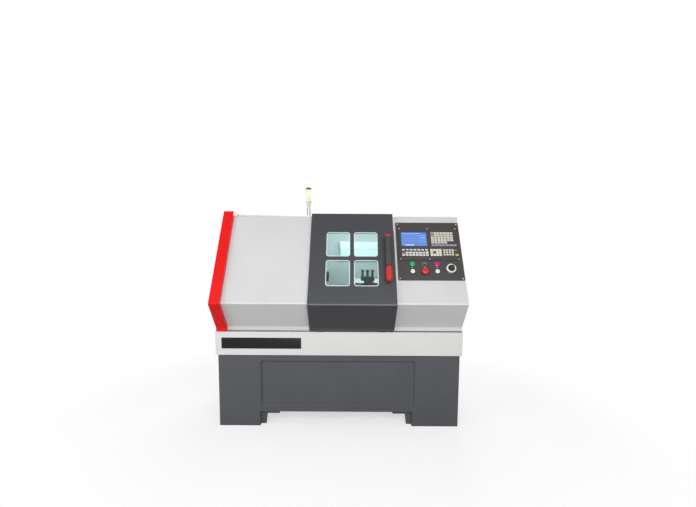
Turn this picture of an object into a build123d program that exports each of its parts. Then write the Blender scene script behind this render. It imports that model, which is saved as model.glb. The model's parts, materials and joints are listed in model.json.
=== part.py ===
from build123d import *
import os

# Flat-bed turning lathe in a sheet-metal enclosure, in millimetres.
# X runs to the operator's right, Y to the back, Z up from the floor.

# Overall size
WIDTH = 1720.0
DEPTH = 1000.0
BASE_HEIGHT = 516.0
TRAY_HEIGHT = 164.0
HOOD_HEIGHT = 816.0

# Pedestal
BASE_END_INSET = 14.0
BASE_FRONT_SETBACK = 12.0
LEFT_LEG_WIDTH = 288.0
RIGHT_LEG_WIDTH = 327.0
LEG_GAP_HEIGHT = 104.0
RECESS_LEFT_MARGIN = 295.0
RECESS_RIGHT_MARGIN = 309.0
RECESS_TOP_MARGIN = 44.0
RECESS_BOTTOM = 145.0
RECESS_DEPTH = 12.0
RECESS_CORNER = 20.0
RECESS_DRAFT = 35.0
GUSSET_SETBACK = 26.0
GUSSET_THICKNESS = 20.0
GUSSET_REACH = 142.0
GUSSET_DROP = 24.0
GUSSET_POST_WIDTH = 44.0
GUSSET_FLOOR_GAP = 4.0
GUSSET_BEVEL = 9.0
LUG_SIZE = 64.0
LUG_THICKNESS = 24.0
LUG_REAR_SETBACK = 60.0
LUG_PITCH_Y = 300.0
ANCHOR_HOLE_RADIUS = 9.0
ANCHOR_INSET = 32.0

# Chip tray and its fascia
TRAY_WALL = 3.0
TRAY_LIP = 45.0
TRAY_REAR_OVERHANG = 12.0

# Hood side profile, measured back from the fascia and up from the tray
SHEET = 2.0
LEDGE_SETBACK = 24.0
LEDGE_HEIGHT = 34.0
BEND_OVERHANG = 104.0
BEND_HEIGHT = 213.0
TOP_SETBACK = 220.0
ROOF_FLANGE = 30.0
ROOF_LAP = 20.0
STANDOFF = 24.0
FOLD_RADIUS = 8.0
VENT_SIDE = 80.0
VENT_LENGTH = 140.0
VENT_RISE = 80.0
VENT_HEIGHT = 8.0
VENT_PITCH = 24.0
VENT_COUNT = 6

# Left end cover and right end
END_COVER_INSET = 8.0
END_COVER_WIDTH = 72.0
END_COVER_RISE = 25.0
END_COVER_SHEET = 3.0
END_COVER_FLANGE = 30.0

# Sliding door
DOOR_WIDTH = 588.0
DOOR_END_GAP = 24.0
DOOR_TOP_RISE = 8.0
DOOR_BOTTOM_LIFT = 4.0
DOOR_RETURN_GAP = 4.0
DOOR_LAP = 10.0
OPENING_SIDE = 14.0
OPENING_BOTTOM_S = 60.0
OPENING_TOP_S = 585.0

# Door windows, in the slope plane
WINDOW_SIDE = 114.0
WINDOW_BOTTOM_S = 118.0
WINDOW_WIDTH = 166.0
WINDOW_HEIGHT = 194.0
WINDOW_GAP_X = 27.0
WINDOW_GAP_S = 29.0
WINDOW_CORNER = 18.0
SEAL_LIP = 5.0
SEAL_FLANGE = 9.0
PANE_THICKNESS = 6.0
PANE_EDGE = 6.0
SEAL_BACK = 2.0

# Door handle
HANDLE_INSET = 48.0
HANDLE_WIDTH = 37.0
HANDLE_BOTTOM_S = 252.0
HANDLE_TOP_S = 476.0
HANDLE_THICKNESS = 18.0
HANDLE_CLEARANCE = 34.0
HANDLE_POST_WIDTH = 24.0
HANDLE_POST_LENGTH = 16.0
GRIP_LENGTH = 114.0
GRIP_WIDTH = 41.0
GRIP_THICKNESS = 34.0
GRIP_CORNER = 20.0
GRIP_EDGE = 10.0
CAP_LENGTH = 14.0
CAP_LIP = 1.0

# Door rails and glide shoes
UPPER_RAIL_SETBACK = 30.0
UPPER_RAIL_WIDTH = 16.0
UPPER_RAIL_HEIGHT = 5.0
LOWER_RAIL_SETBACK = 8.0
LOWER_RAIL_WIDTH = 8.0
LOWER_RAIL_HEIGHT = 8.0
RAIL_END_GAP = 8.0
RAIL_OVERRUN = 16.0
GLIDE_LENGTH = 46.0
GLIDE_WALL = 5.0
GLIDE_HEIGHT = 30.0
GLIDE_CLEARANCE = 0.3
GLIDE_LIFT = 0.5
GLIDE_INSET = 60.0
HANGER_THICKNESS = 3.0
NOTCH_CLEARANCE = 4.0

# Bed and ways
BED_LEFT_GAP = 140.0
BED_RIGHT_GAP = 148.0
BED_HALF_WIDTH = 140.0
WAY_WIDTH = 60.0
WAY_HEIGHT = 326.0
WAY_DEPTH = 30.0
VEE_RISE = 18.0
BED_POCKET_LENGTH = 160.0
BED_POCKET_PITCH = 190.0
BED_POCKET_WIDTH = 120.0
BED_POCKET_FLOOR = 44.0
SLIDE_CLEARANCE = 0.05

# Spindle line
CENTRE_HEIGHT = 200.0
RUNNING_CLEARANCE = 0.05
HEADSTOCK_LENGTH = 340.0
HEADSTOCK_HALF_WIDTH = 146.0
HEADSTOCK_CROWN = 145.0
HEADSTOCK_EDGE = 28.0
BEARING_RADIUS = 80.0
BEARING_LENGTH = 70.0
BEARING_CAP_RADIUS = 104.0
BEARING_CAP_LENGTH = 14.0
SPINDLE_RADIUS = 50.0
SPINDLE_BORE = 26.0
NOSE_RADIUS = 76.0
NOSE_LENGTH = 57.0
NOSE_GAP = 4.0
PULLEY_SHAFT_RADIUS = 36.0
PULLEY_WIDTH = 45.0
PULLEY_GAP = 36.0
PULLEY_RADIUS = 80.0
PULLEY_RIM = 6.0
PULLEY_RIM_WIDTH = 3.0
BELT_THICKNESS = 5.0
BELT_GAP = 0.3
BELT_SIDE_GAP = 0.5

# Main motor
MOTOR_FRONT_GAP = 2.0
MOTOR_REAR_GAP = 12.0
MOTOR_LIFT = 273.0
MOTOR_RADIUS = 84.0
MOTOR_LENGTH = 260.0
MOTOR_PULLEY_RADIUS = 50.0
MOTOR_SHAFT_RADIUS = 14.0
MOTOR_SHAFT_DEPTH = 65.0
MOTOR_SHAFT_GAP = 2.0
MOTOR_FOOT_WIDTH = 118.0
MOTOR_FOOT_LENGTH = 200.0
MOTOR_SHIELD_LENGTH = 22.0
MOTOR_COWL_LENGTH = 64.0
MOTOR_WAIST = 5.0
TERMINAL_BOX_LENGTH = 90.0
TERMINAL_BOX_WIDTH = 76.0
TERMINAL_BOX_RISE = 26.0

# Three-jaw chuck
CHUCK_RADIUS = 100.0
CHUCK_LENGTH = 75.0
CHUCK_EDGE = 3.0
JAW_COUNT = 3
JAW_WIDTH = 26.0
JAW_CLEARANCE = 0.1
JAW_SLOT_DEPTH = 20.0
JAW_INNER_RADIUS = 14.0
JAW_STEP = 22.0
JAW_STEP_HEIGHT = 21.0
JAW_BASE_HEIGHT = 22.0
JAW_REACH = 62.0

# Carriage
SADDLE_OFFSET = 390.0
SADDLE_LENGTH = 260.0
SADDLE_THICKNESS = 60.0
SADDLE_APRON = 65.0
SADDLE_WING = 20.0
CROSS_GUIDE_OFFSET = 15.0
DOVETAIL_HEIGHT = 20.0
DOVETAIL_WIDTH = 100.0
DOVETAIL_UNDERCUT = 10.0
SCREW_CHANNEL_WIDTH = 24.0
SCREW_CHANNEL_DEPTH = 28.0
SCREW_CHANNEL_END = 24.0
NUT_CLEARANCE = 1.0
CROSS_SLIDE_WIDTH = 160.0
CROSS_SLIDE_LENGTH = 250.0
CROSS_SLIDE_HEIGHT = 45.0
CROSS_SLIDE_REACH = 230.0
CROSS_NUT_LENGTH = 40.0
CROSS_NUT_SETBACK = 60.0
SLIDE_COVER_WIDTH = 222.0
SLIDE_COVER_SETBACK = 96.0
SLIDE_COVER_DEPTH = 120.0
SLIDE_COVER_HEIGHT = 109.0
SLIDE_COVER_STEP = 26.0

# Ball screws and servo motor
Z_SCREW_RADIUS = 12.5
Z_SCREW_OFFSET_Y = 35.0
Z_SCREW_DROP = 85.0
Z_SCREW_START = 30.0
SCREW_END_GAP = 2.0
SCREW_BLOCK_LENGTH = 30.0
SCREW_BLOCK_HALF = 30.0
NUT_LENGTH = 60.0
X_SCREW_RADIUS = 8.0
X_SCREW_SEAT = 6.0
X_SCREW_DROP = 2.0
SERVO_SIZE = 90.0
SERVO_LENGTH = 110.0
SERVO_BORE_DEPTH = 8.0
SERVO_EDGE = 9.0

# Four-way tool turret
TURRET_SETBACK = 130.0
TURRET_SIZE = 98.0
TURRET_EDGE = 5.0
TURRET_BASE_RADIUS = 50.0
TURRET_BASE_HEIGHT = 22.0
TURRET_HEIGHT = 81.0
TURRET_LOWER = 28.0
TOOL_SLOT_HEIGHT = 25.0
TOOL_SLOT_DEPTH = 24.0
TOOL_SIZE = 20.0
TOOL_LENGTH = 120.0
TOOL_OVERHANG = 30.0
TOOL_NOSE = 4.0
TOOL_RELIEF = 9.0
CLAMP_SCREW_RADIUS = 6.0
CLAMP_SCREW_HEAD = 9.0
CLAMP_HEAD_HEIGHT = 14.0
CLAMP_SCREW_HEIGHT = 50.0
CLAMP_SCREW_INSET = 12.0

# Tailstock
TAIL_END_GAP = 12.0
TAIL_LENGTH = 140.0
TAIL_BASE_HEIGHT = 40.0
TAIL_BARREL_RADIUS = 52.0
TAIL_WEB_WIDTH = 70.0
TAIL_WALL = 12.0
QUILL_RADIUS = 29.0
QUILL_LENGTH = 150.0
QUILL_PROUD = 30.0
QUILL_NOSE = 20.0
CENTRE_LENGTH = 50.0
CENTRE_RADIUS = 22.0
TAIL_SCREW_RADIUS = 9.0
TAIL_SCREW_GAP = 10.0
TAIL_WHEEL_RADIUS = 68.0
TAIL_WHEEL_WIDTH = 16.0
TAIL_WHEEL_GAP = 12.0
TAIL_RIM = 14.0
TAIL_HUB_RADIUS = 24.0
TAIL_SPOKE_WIDTH = 16.0
TAIL_SPOKE_INSET = 2.0
TAIL_SPOKE_COUNT = 3
TAIL_KNOB_RADIUS = 9.0
TAIL_KNOB_LENGTH = 34.0

# Operator panel, in the slope plane
PLATE_EDGE_GAP = 4.0
PLATE_DOOR_GAP = 20.0
PLATE_BOTTOM_S = 172.0
PLATE_THICKNESS = 4.0
PLATE_CORNER = 8.0
PLATE_MARGIN = 14.0
UNIT_SIDE = 17.0
UNIT_WIDTH = 420.0
UNIT_RISE = 151.0
UNIT_HEIGHT = 264.0
UNIT_TOP_GAP = 45.0
UNIT_BEZEL = 5.0
UNIT_EDGE = 3.0
UNIT_INSET = 10.0
UNIT_DEPTH = 70.0
SCREEN_SIDE = 19.0
KEY_BLOCK_WIDTH = 220.0
SCREEN_RISE = 109.0
SCREEN_HEIGHT = 123.0
SCREEN_RECESS = 2.0
SCREEN_THICKNESS = 2.5
KEY_PROUD = 2.0

# Key fields on the control unit: left and right inset, bottom, height, gap between keys
SOFT_KEYS = (1.0, 0.0, 75.0, 11.0, 9.0)
MODE_KEYS = (1.0, 20.0, 33.0, 31.0, 5.0)
SPEED_KEYS = (-14.0, 218.0, 33.0, 35.0, 4.0)
LETTER_KEYS = (31.0, 33.0, 133.0, 91.0, 4.0)
LETTER_BLANKS = ((0, 5), (0, 6))
PAGE_KEYS = (31.0, 13.0, 113.0, 12.0, 4.0)
AXIS_KEYS = (18.0, 124.0, 33.0, 54.0, 3.0)
FEED_KEYS = (108.0, 40.0, 38.0, 48.0, 6.0)
CYCLE_KEY = (187.0, 15.0, 76.0, 10.0, 0.0)
RAPID_KEY = (191.0, 7.0, 36.0, 12.0, 0.0)

# Push buttons, selector and hand wheel, in the slope plane
BUTTON_SIDE = 101.0
BUTTON_DIAL_GAP = 55.0
BUTTON_RISE = 64.0
BUTTON_PITCH_S = 55.0
BEZEL_RADIUS = 15.5
BEZEL_HEIGHT = 5.0
BUTTON_RADIUS = 11.0
BUTTON_HEIGHT = 9.0
BUTTON_EDGE = 1.2
BUTTON_TRAVEL = 4.0
POCKET_GAP = 2.0
BARREL_WALL = 1.5
BARREL_LENGTH = 38.0
CONTACT_SIZE = 26.0
CONTACT_LENGTH = 30.0
ESTOP_DROP = 2.0
ESTOP_RADIUS = 20.0
ESTOP_HEIGHT = 14.0
ESTOP_EDGE = 5.6
ESTOP_LIFT = 7.0
SELECTOR_SKIRT = 2.0
SELECTOR_HEIGHT = 16.0
SELECTOR_GRIP_WIDTH = 9.0
SELECTOR_GRIP_LENGTH = 18.6
HANDWHEEL_SIDE = 90.0
HANDWHEEL_RISE = 85.0
HANDWHEEL_RADIUS = 33.0
HANDWHEEL_HEIGHT = 14.0
HANDWHEEL_LIFT = 2.0
HANDWHEEL_EDGE = 2.0
HANDWHEEL_RIM = 9.0
HANDWHEEL_DISH = 6.0
FINGER_RADIUS = 7.0
FINGER_X = 8.0
FINGER_S = 12.0
FINGER_HEIGHT = 14.0
DIAL_RADIUS = 39.0
DIAL_HEIGHT = 4.0
DIAL_BODY_RADIUS = 26.0
DIAL_BODY_LENGTH = 46.0
SHAFT_RADIUS = 5.0
SHAFT_LENGTH = 30.0

# Signal lamp on the roof
LAMP_DOOR_GAP = 37.0
LAMP_SETBACK = 64.0
LAMP_FLANGE_RADIUS = 30.0
LAMP_FLANGE_HEIGHT = 6.0
LAMP_POLE_RADIUS = 14.0
LAMP_POLE_HEIGHT = 72.0
LAMP_HOLDER_HEIGHT = 53.0
LAMP_NECK_RADIUS = 9.0
LAMP_RADIUS = 22.0
LAMP_LENS_HEIGHT = 86.0
LAMP_LENS_INSET = 1.0
LAMP_LENS_WALL = 3.0
LAMP_CAP_HEIGHT = 14.0
LAMP_CAP_EDGE = 8.4

# Work lamp on the rear wall
WORK_LAMP_SIDE = 196.0
WORK_LAMP_LENGTH = 330.0
WORK_LAMP_DROP = 228.0
WORK_LAMP_HEIGHT = 60.0
WORK_LAMP_DEPTH = 52.0
WORK_LAMP_HEAD = 88.0
WORK_LAMP_TUBE_RADIUS = 20.0
WORK_LAMP_EDGE = 6.0
WORK_LAMP_FOOT = 20.0

# Electrical cabinet on the back
CABINET_WIDTH = 860.0
CABINET_LIFT = 80.0
CABINET_HEIGHT = 660.0
CABINET_TOTAL_DEPTH = 200.0
CABINET_DOOR_THICKNESS = 20.0
LATCH_PROUD = 14.0
LATCH_RADIUS = 13.0
LATCH_INSET = 34.0
LATCH_DISC = 4.0
LATCH_GRIP_WIDTH = 8.0
LATCH_GRIP_LENGTH = 24.0
LATCH_SHAFT_LENGTH = 12.0
CAM_REACH = 24.0
CAM_WIDTH = 12.0
CAM_THICKNESS = 3.0
HINGE_RADIUS = 6.0
HINGE_LENGTH = 60.0
HINGE_OFFSET = 9.0
HINGE_INSET = 90.0
HINGE_LEAF = 30.0
HINGE_LUG = 8.0
EQUIPMENT_PLATE = 3.0
EQUIPMENT_MARGIN = 30.0
DRIVE_WIDTH = 90.0
DRIVE_HEIGHT = 240.0
DRIVE_DEPTH = 120.0
DRIVE_PITCH = 130.0
CONTACTOR_SIZE = 46.0
CONTACTOR_HEIGHT = 84.0
CONTACTOR_PITCH = 62.0
CONTACTOR_COUNT = 8
SWITCH_SIZE = 64.0
SWITCH_PLATE = 4.0
SWITCH_KNOB_RADIUS = 20.0
SWITCH_KNOB_HEIGHT = 22.0
SWITCH_DISC = 8.0
SWITCH_GRIP_WIDTH = 10.0
SWITCH_GRIP_LENGTH = 34.0
GLAND_RADIUS = 15.0
GLAND_BORE = 8.0
GLAND_LENGTH = 26.0
GLAND_INSET = 60.0


# Paths in the YZ plane
def offset_path(points, distance):
    """Move an open path sideways, outward from the machine, with mitred corners."""
    corners = [Vector(*point) for point in points]
    runs = [(end - start).normalized() for start, end in zip(corners, corners[1:])]
    normals = [Vector(-run.Y, run.X) for run in runs]
    moved = [corners[0] + normals[0] * distance]
    for corner, before, after in zip(corners[1:-1], normals, normals[1:]):
        moved.append(corner + (before + after) * (distance / (1 + before.dot(after))))
    moved.append(corners[-1] + normals[-1] * distance)
    return [(corner.X, corner.Y) for corner in moved]


def lengthen(points, extra):
    """Carry the last run of a path on by an extra length."""
    last = Vector(*points[-1])
    run = (last - Vector(*points[-2])).normalized()
    end = last + run * extra
    return points[:-1] + [(end.X, end.Y)]


def polygon(points):
    return make_face(Polyline(*points, close=True))


def round_bends(face, path, depth=0.0):
    """Round the face's corners on a path that lies at a depth under the outer skin."""
    for before, corner, after in zip(path, path[1:], path[2:]):
        run = Vector(*corner) - Vector(*before)
        outward = run.cross(Vector(*after) - Vector(*corner)).Z < 0
        radius = FOLD_RADIUS - depth if outward else FOLD_RADIUS - SHEET + depth
        face = fillet(face.vertices().sort_by_distance((*corner, 0))[0], radius)
    return face


def prism_x(face, left, right):
    """Extrude a YZ face from one X to another."""
    return extrude(Plane.YZ.offset(left) * face, amount=right - left)


def prism_y(face, front, back):
    """Extrude an XZ face from one Y to another."""
    return extrude(Plane.XZ.offset(-front) * face, amount=-(back - front))


def block(left, right, front, back, bottom, top):
    size = Box(right - left, back - front, top - bottom, align=(Align.MIN, Align.MIN, Align.MIN))
    return Pos(left, front, bottom) * size


def rod_x(radius, left, right, y, z):
    bar = Cylinder(radius, right - left, align=(Align.CENTER, Align.CENTER, Align.MIN))
    return Pos(left, y, z) * Rot(0, 90, 0) * bar


def rod_y(radius, front, back, x, z):
    bar = Cylinder(radius, back - front, align=(Align.CENTER, Align.CENTER, Align.MIN))
    return Pos(x, front, z) * Rot(-90, 0, 0) * bar


def rod_z(radius, bottom, top, x, y):
    bar = Cylinder(radius, top - bottom, align=(Align.CENTER, Align.CENTER, Align.MIN))
    return Pos(x, y, bottom) * bar


# Derived levels and planes
TRAY_TOP = BASE_HEIGHT + TRAY_HEIGHT
ROOF_Z = TRAY_TOP + HOOD_HEIGHT
HALF_WIDTH = WIDTH / 2

profile_at_fascia = [
    (LEDGE_SETBACK, TRAY_TOP),
    (LEDGE_SETBACK, TRAY_TOP + LEDGE_HEIGHT),
    (-BEND_OVERHANG, TRAY_TOP + BEND_HEIGHT),
    (TOP_SETBACK, ROOF_Z),
]
skin_at_fascia = offset_path(profile_at_fascia, STANDOFF)
front_reach = -round_bends(polygon(skin_at_fascia), skin_at_fascia).bounding_box().min.X
FASCIA_Y = front_reach - DEPTH / 2
PROFILE = [(FASCIA_Y + y, z) for y, z in profile_at_fascia]
BEND = Vector(*PROFILE[2])
SLOPE_RUN = (Vector(*PROFILE[3]) - BEND).normalized()
SLOPE = Plane(
    origin=(0, BEND.X, BEND.Y),
    x_dir=(1, 0, 0),
    z_dir=(0, -SLOPE_RUN.Y, SLOPE_RUN.X),
)
SLOPE_UP = Axis((0, 0, 0), tuple(SLOPE.y_dir))
SLOPE_OUT = Axis((0, 0, 0), tuple(SLOPE.z_dir))

HOOD_REAR = DEPTH / 2 - CABINET_TOTAL_DEPTH
TRAY_REAR = HOOD_REAR + TRAY_REAR_OVERHANG
BASE_REAR = HOOD_REAR
BASE_FRONT = FASCIA_Y + BASE_FRONT_SETBACK
BASE_HALF = HALF_WIDTH - BASE_END_INSET
LUG_FRONT_Y = BASE_REAR - LUG_REAR_SETBACK - LUG_PITCH_Y
GAP_LEFT = -BASE_HALF + LEFT_LEG_WIDTH
GAP_RIGHT = BASE_HALF - RIGHT_LEG_WIDTH
COVER_LEFT = -HALF_WIDTH + END_COVER_INSET
HOOD_LEFT = COVER_LEFT + END_COVER_WIDTH
TRAY_FLOOR = BASE_HEIGHT + TRAY_WALL

# Operator panel at the right edge of the hood, with the door beside it
UNIT_RIGHT = HALF_WIDTH - PLATE_EDGE_GAP - UNIT_SIDE
UNIT_LEFT = UNIT_RIGHT - UNIT_WIDTH
UNIT_BOTTOM_S = PLATE_BOTTOM_S + UNIT_RISE
UNIT_TOP_S = UNIT_BOTTOM_S + UNIT_HEIGHT
UNIT_FACE = PLATE_THICKNESS + UNIT_BEZEL
PLATE_LEFT = UNIT_LEFT - UNIT_SIDE
PLATE_RIGHT = UNIT_RIGHT + UNIT_SIDE
PLATE_TOP_S = UNIT_TOP_S + UNIT_TOP_GAP
SCREEN_LEFT = UNIT_LEFT + SCREEN_SIDE
SCREEN_RIGHT = UNIT_RIGHT - KEY_BLOCK_WIDTH
SCREEN_BOTTOM_S = UNIT_BOTTOM_S + SCREEN_RISE
HANDWHEEL_X = PLATE_RIGHT - HANDWHEEL_SIDE
HANDWHEEL_S = PLATE_BOTTOM_S + HANDWHEEL_RISE
BARREL_RADIUS = BUTTON_RADIUS + BARREL_WALL
DOOR_RIGHT = PLATE_LEFT - PLATE_DOOR_GAP
DOOR_LEFT = DOOR_RIGHT - DOOR_WIDTH
DOOR_TRAVEL = DOOR_LEFT - HOOD_LEFT - DOOR_END_GAP
OPENING_LEFT = DOOR_LEFT + DOOR_LAP
OPENING_RIGHT = DOOR_RIGHT - DOOR_LAP
WINDOW_LEFT = DOOR_LEFT + WINDOW_SIDE
HANDLE_X = DOOR_RIGHT - HANDLE_INSET

# The drive motor lies between the headstock and the rear sheet
MOTOR_Y = HOOD_REAR - SHEET - MOTOR_REAR_GAP - MOTOR_RADIUS
SPINDLE_Y = MOTOR_Y - MOTOR_RADIUS - MOTOR_FRONT_GAP - HEADSTOCK_HALF_WIDTH
WAY_TOP = TRAY_FLOOR + WAY_HEIGHT
SPINDLE_Z = WAY_TOP + CENTRE_HEIGHT
HEADSTOCK_TOP = SPINDLE_Z + HEADSTOCK_CROWN
MOTOR_Z = TRAY_FLOOR + MOTOR_LIFT
BED_LEFT = HOOD_LEFT + BED_LEFT_GAP
BED_RIGHT = HALF_WIDTH - BED_RIGHT_GAP
HEADSTOCK_RIGHT = BED_LEFT + HEADSTOCK_LENGTH
BED_POCKET_COUNT = int((BED_RIGHT - HEADSTOCK_RIGHT) // BED_POCKET_PITCH)
BED_FRONT = SPINDLE_Y - BED_HALF_WIDTH
BED_BACK = SPINDLE_Y + BED_HALF_WIDTH
SADDLE_LEFT = HEADSTOCK_RIGHT + SADDLE_OFFSET
SADDLE_RIGHT = SADDLE_LEFT + SADDLE_LENGTH
SADDLE_MIDDLE = (SADDLE_LEFT + SADDLE_RIGHT) / 2 - CROSS_GUIDE_OFFSET
SADDLE_TOP = WAY_TOP + SADDLE_THICKNESS
CROSS_SLIDE_FRONT = SPINDLE_Y - CROSS_SLIDE_REACH
SLIDE_COVER_FRONT = SPINDLE_Y + SLIDE_COVER_SETBACK
SLIDE_COVER_TOP = SADDLE_TOP + SLIDE_COVER_HEIGHT
TURRET_Y = SPINDLE_Y - TURRET_SETBACK
Z_SCREW_LEFT = HEADSTOCK_RIGHT + Z_SCREW_START
Z_SCREW_Y = BED_BACK + Z_SCREW_OFFSET_Y
Z_SCREW_Z = WAY_TOP - Z_SCREW_DROP
TAIL_RIGHT = BED_RIGHT - TAIL_END_GAP
TAIL_LEFT = TAIL_RIGHT - TAIL_LENGTH
QUILL_LEFT = TAIL_LEFT - QUILL_PROUD

# Roof edge, door rails and lamp
ROOF_TOP = ROOF_Z + SHEET
UPPER_RAIL_FRONT = PROFILE[3][0] + UPPER_RAIL_SETBACK
UPPER_RAIL_BACK = UPPER_RAIL_FRONT + UPPER_RAIL_WIDTH
LOWER_RAIL_FRONT = FASCIA_Y + LOWER_RAIL_SETBACK
LOWER_RAIL_BACK = LOWER_RAIL_FRONT + LOWER_RAIL_WIDTH
DOOR_TOP = Vector(*offset_path(lengthen(PROFILE, DOOR_TOP_RISE - SHEET / 2), STANDOFF / 2)[-1])
HANGER_Z = DOOR_TOP.Y - HANGER_THICKNESS / 2
LAMP_X = DOOR_LEFT - LAMP_DOOR_GAP
LAMP_Y = UPPER_RAIL_BACK + LAMP_SETBACK
LAMP_POLE_TOP = ROOF_TOP + LAMP_POLE_HEIGHT
LAMP_HOLDER_TOP = LAMP_POLE_TOP + LAMP_HOLDER_HEIGHT
LAMP_LENS_TOP = LAMP_HOLDER_TOP + LAMP_LENS_HEIGHT


def slope_block(left, right, low, high, inner, outer):
    """A box on the slope: X, distance up the slope from the bend, height off the panel."""
    return SLOPE * block(left, right, low, high, inner, outer)


def slope_rod(radius, x, s, inner, outer):
    bar = Cylinder(radius, outer - inner, align=(Align.CENTER, Align.CENTER, Align.MIN))
    return SLOPE * (Pos(x, s, inner) * bar)


# Pedestal
def gusset(edge, direction):
    """Stepped corner plate between a leg and the apron above the gap."""
    bottom = LEG_GAP_HEIGHT - GUSSET_DROP
    outline = polygon([
        (edge, LEG_GAP_HEIGHT),
        (edge + direction * GUSSET_REACH, LEG_GAP_HEIGHT),
        (edge + direction * (GUSSET_REACH - GUSSET_BEVEL), bottom),
        (edge + direction * GUSSET_POST_WIDTH, bottom),
        (edge + direction * (GUSSET_POST_WIDTH - GUSSET_BEVEL), GUSSET_FLOOR_GAP),
        (edge, GUSSET_FLOOR_GAP),
    ])
    front = BASE_FRONT + GUSSET_SETBACK
    return prism_y(outline, front, front + GUSSET_THICKNESS)


def base_cabinet():
    body = block(-BASE_HALF, BASE_HALF, BASE_FRONT, BASE_REAR, 0, BASE_HEIGHT)
    body -= block(GAP_LEFT, GAP_RIGHT, BASE_FRONT - 1, BASE_REAR + 1, -1, LEG_GAP_HEIGHT)
    recess_left = -BASE_HALF + RECESS_LEFT_MARGIN
    recess_right = BASE_HALF - RECESS_RIGHT_MARGIN
    recess_top = BASE_HEIGHT - RECESS_TOP_MARGIN
    dish = RectangleRounded(recess_right - recess_left, recess_top - RECESS_BOTTOM, RECESS_CORNER)
    middle = ((recess_left + recess_right) / 2, (recess_top + RECESS_BOTTOM) / 2)
    dish = Plane.XZ.offset(-BASE_FRONT) * (Pos(*middle) * dish)
    body -= extrude(dish, amount=-RECESS_DEPTH, taper=RECESS_DRAFT)
    for edge, direction in ((GAP_LEFT, 1), (GAP_RIGHT, -1)):
        body += gusset(edge, direction)
        for centre_y in (LUG_FRONT_Y, LUG_FRONT_Y + LUG_PITCH_Y):
            inner = edge + direction * LUG_SIZE
            lug = block(
                min(edge, inner), max(edge, inner),
                centre_y - LUG_SIZE / 2, centre_y + LUG_SIZE / 2, 0, LUG_THICKNESS,
            )
            hole_x = edge + direction * ANCHOR_INSET
            body += lug
            body -= rod_z(ANCHOR_HOLE_RADIUS, -1, LUG_THICKNESS + 1, hole_x, centre_y)
    return body


# Chip tray
def chip_tray():
    tray = block(-HALF_WIDTH, HALF_WIDTH, FASCIA_Y, TRAY_REAR, BASE_HEIGHT, TRAY_TOP)
    tray -= block(
        -HALF_WIDTH + TRAY_WALL, HALF_WIDTH - TRAY_WALL,
        FASCIA_Y + TRAY_WALL, TRAY_REAR - TRAY_WALL, TRAY_FLOOR, TRAY_TOP - TRAY_WALL,
    )
    tray -= block(
        -HALF_WIDTH + TRAY_LIP, HALF_WIDTH - TRAY_LIP,
        FASCIA_Y + TRAY_LIP, TRAY_REAR - TRAY_LIP, TRAY_FLOOR, TRAY_TOP + 1,
    )
    return tray


# Hood sheets
def folded_sheet(path, left, right, thickness=SHEET):
    """Sheet whose outer face follows the path, with its thickness inward."""
    inner = offset_path(path, -thickness)
    outline = round_bends(polygon(path + list(reversed(inner))), path)
    return prism_x(round_bends(outline, inner, thickness), left, right)


def panel_path():
    """Front profile of the hood with the return flange under the roof sheet."""
    return PROFILE + [(PROFILE[3][0] + ROOF_FLANGE, ROOF_Z)]


def hood_outline(grow=0.0):
    """Closed side outline of the hood, grown or shrunk by an even distance."""
    path = offset_path(PROFILE + [(HOOD_REAR, ROOF_Z)], grow)
    return polygon(path + [(HOOD_REAR, TRAY_TOP)])


def hood_left_panel():
    return folded_sheet(panel_path(), HOOD_LEFT, OPENING_LEFT)


def door_surround():
    sheet = folded_sheet(panel_path(), OPENING_LEFT, OPENING_RIGHT)
    hole = slope_block(
        OPENING_LEFT + OPENING_SIDE, OPENING_RIGHT - OPENING_SIDE,
        OPENING_BOTTOM_S, OPENING_TOP_S, -SHEET * 3, SHEET,
    )
    return sheet - hole


def hood_right_panel():
    """Right front sheet and right side wall, folded from one sheet."""
    sheet = folded_sheet(panel_path(), OPENING_RIGHT, HALF_WIDTH)
    end = prism_x(round_bends(hood_outline(), panel_path()), HALF_WIDTH - SHEET, HALF_WIDTH)
    cutout = slope_block(
        PLATE_LEFT + PLATE_MARGIN, PLATE_RIGHT - PLATE_MARGIN,
        PLATE_BOTTOM_S + PLATE_MARGIN, PLATE_TOP_S - PLATE_MARGIN, -SHEET * 3, SHEET,
    )
    return sheet + end - cutout


def hood_roof():
    front = PROFILE[3][0] + ROOF_FLANGE - ROOF_LAP
    return block(HOOD_LEFT, HALF_WIDTH, front, HOOD_REAR, ROOF_Z, ROOF_TOP)


def rear_panel():
    """Back sheet with a bank of vent slots over the main motor."""
    sheet = block(HOOD_LEFT, HALF_WIDTH - SHEET, HOOD_REAR - SHEET, HOOD_REAR, TRAY_TOP, ROOF_Z)
    left = HOOD_LEFT + VENT_SIDE
    for number in range(VENT_COUNT):
        low = TRAY_TOP + VENT_RISE + number * VENT_PITCH
        sheet -= block(
            left, left + VENT_LENGTH, HOOD_REAR - 2 * SHEET, HOOD_REAR + SHEET,
            low, low + VENT_HEIGHT,
        )
    return sheet


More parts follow.
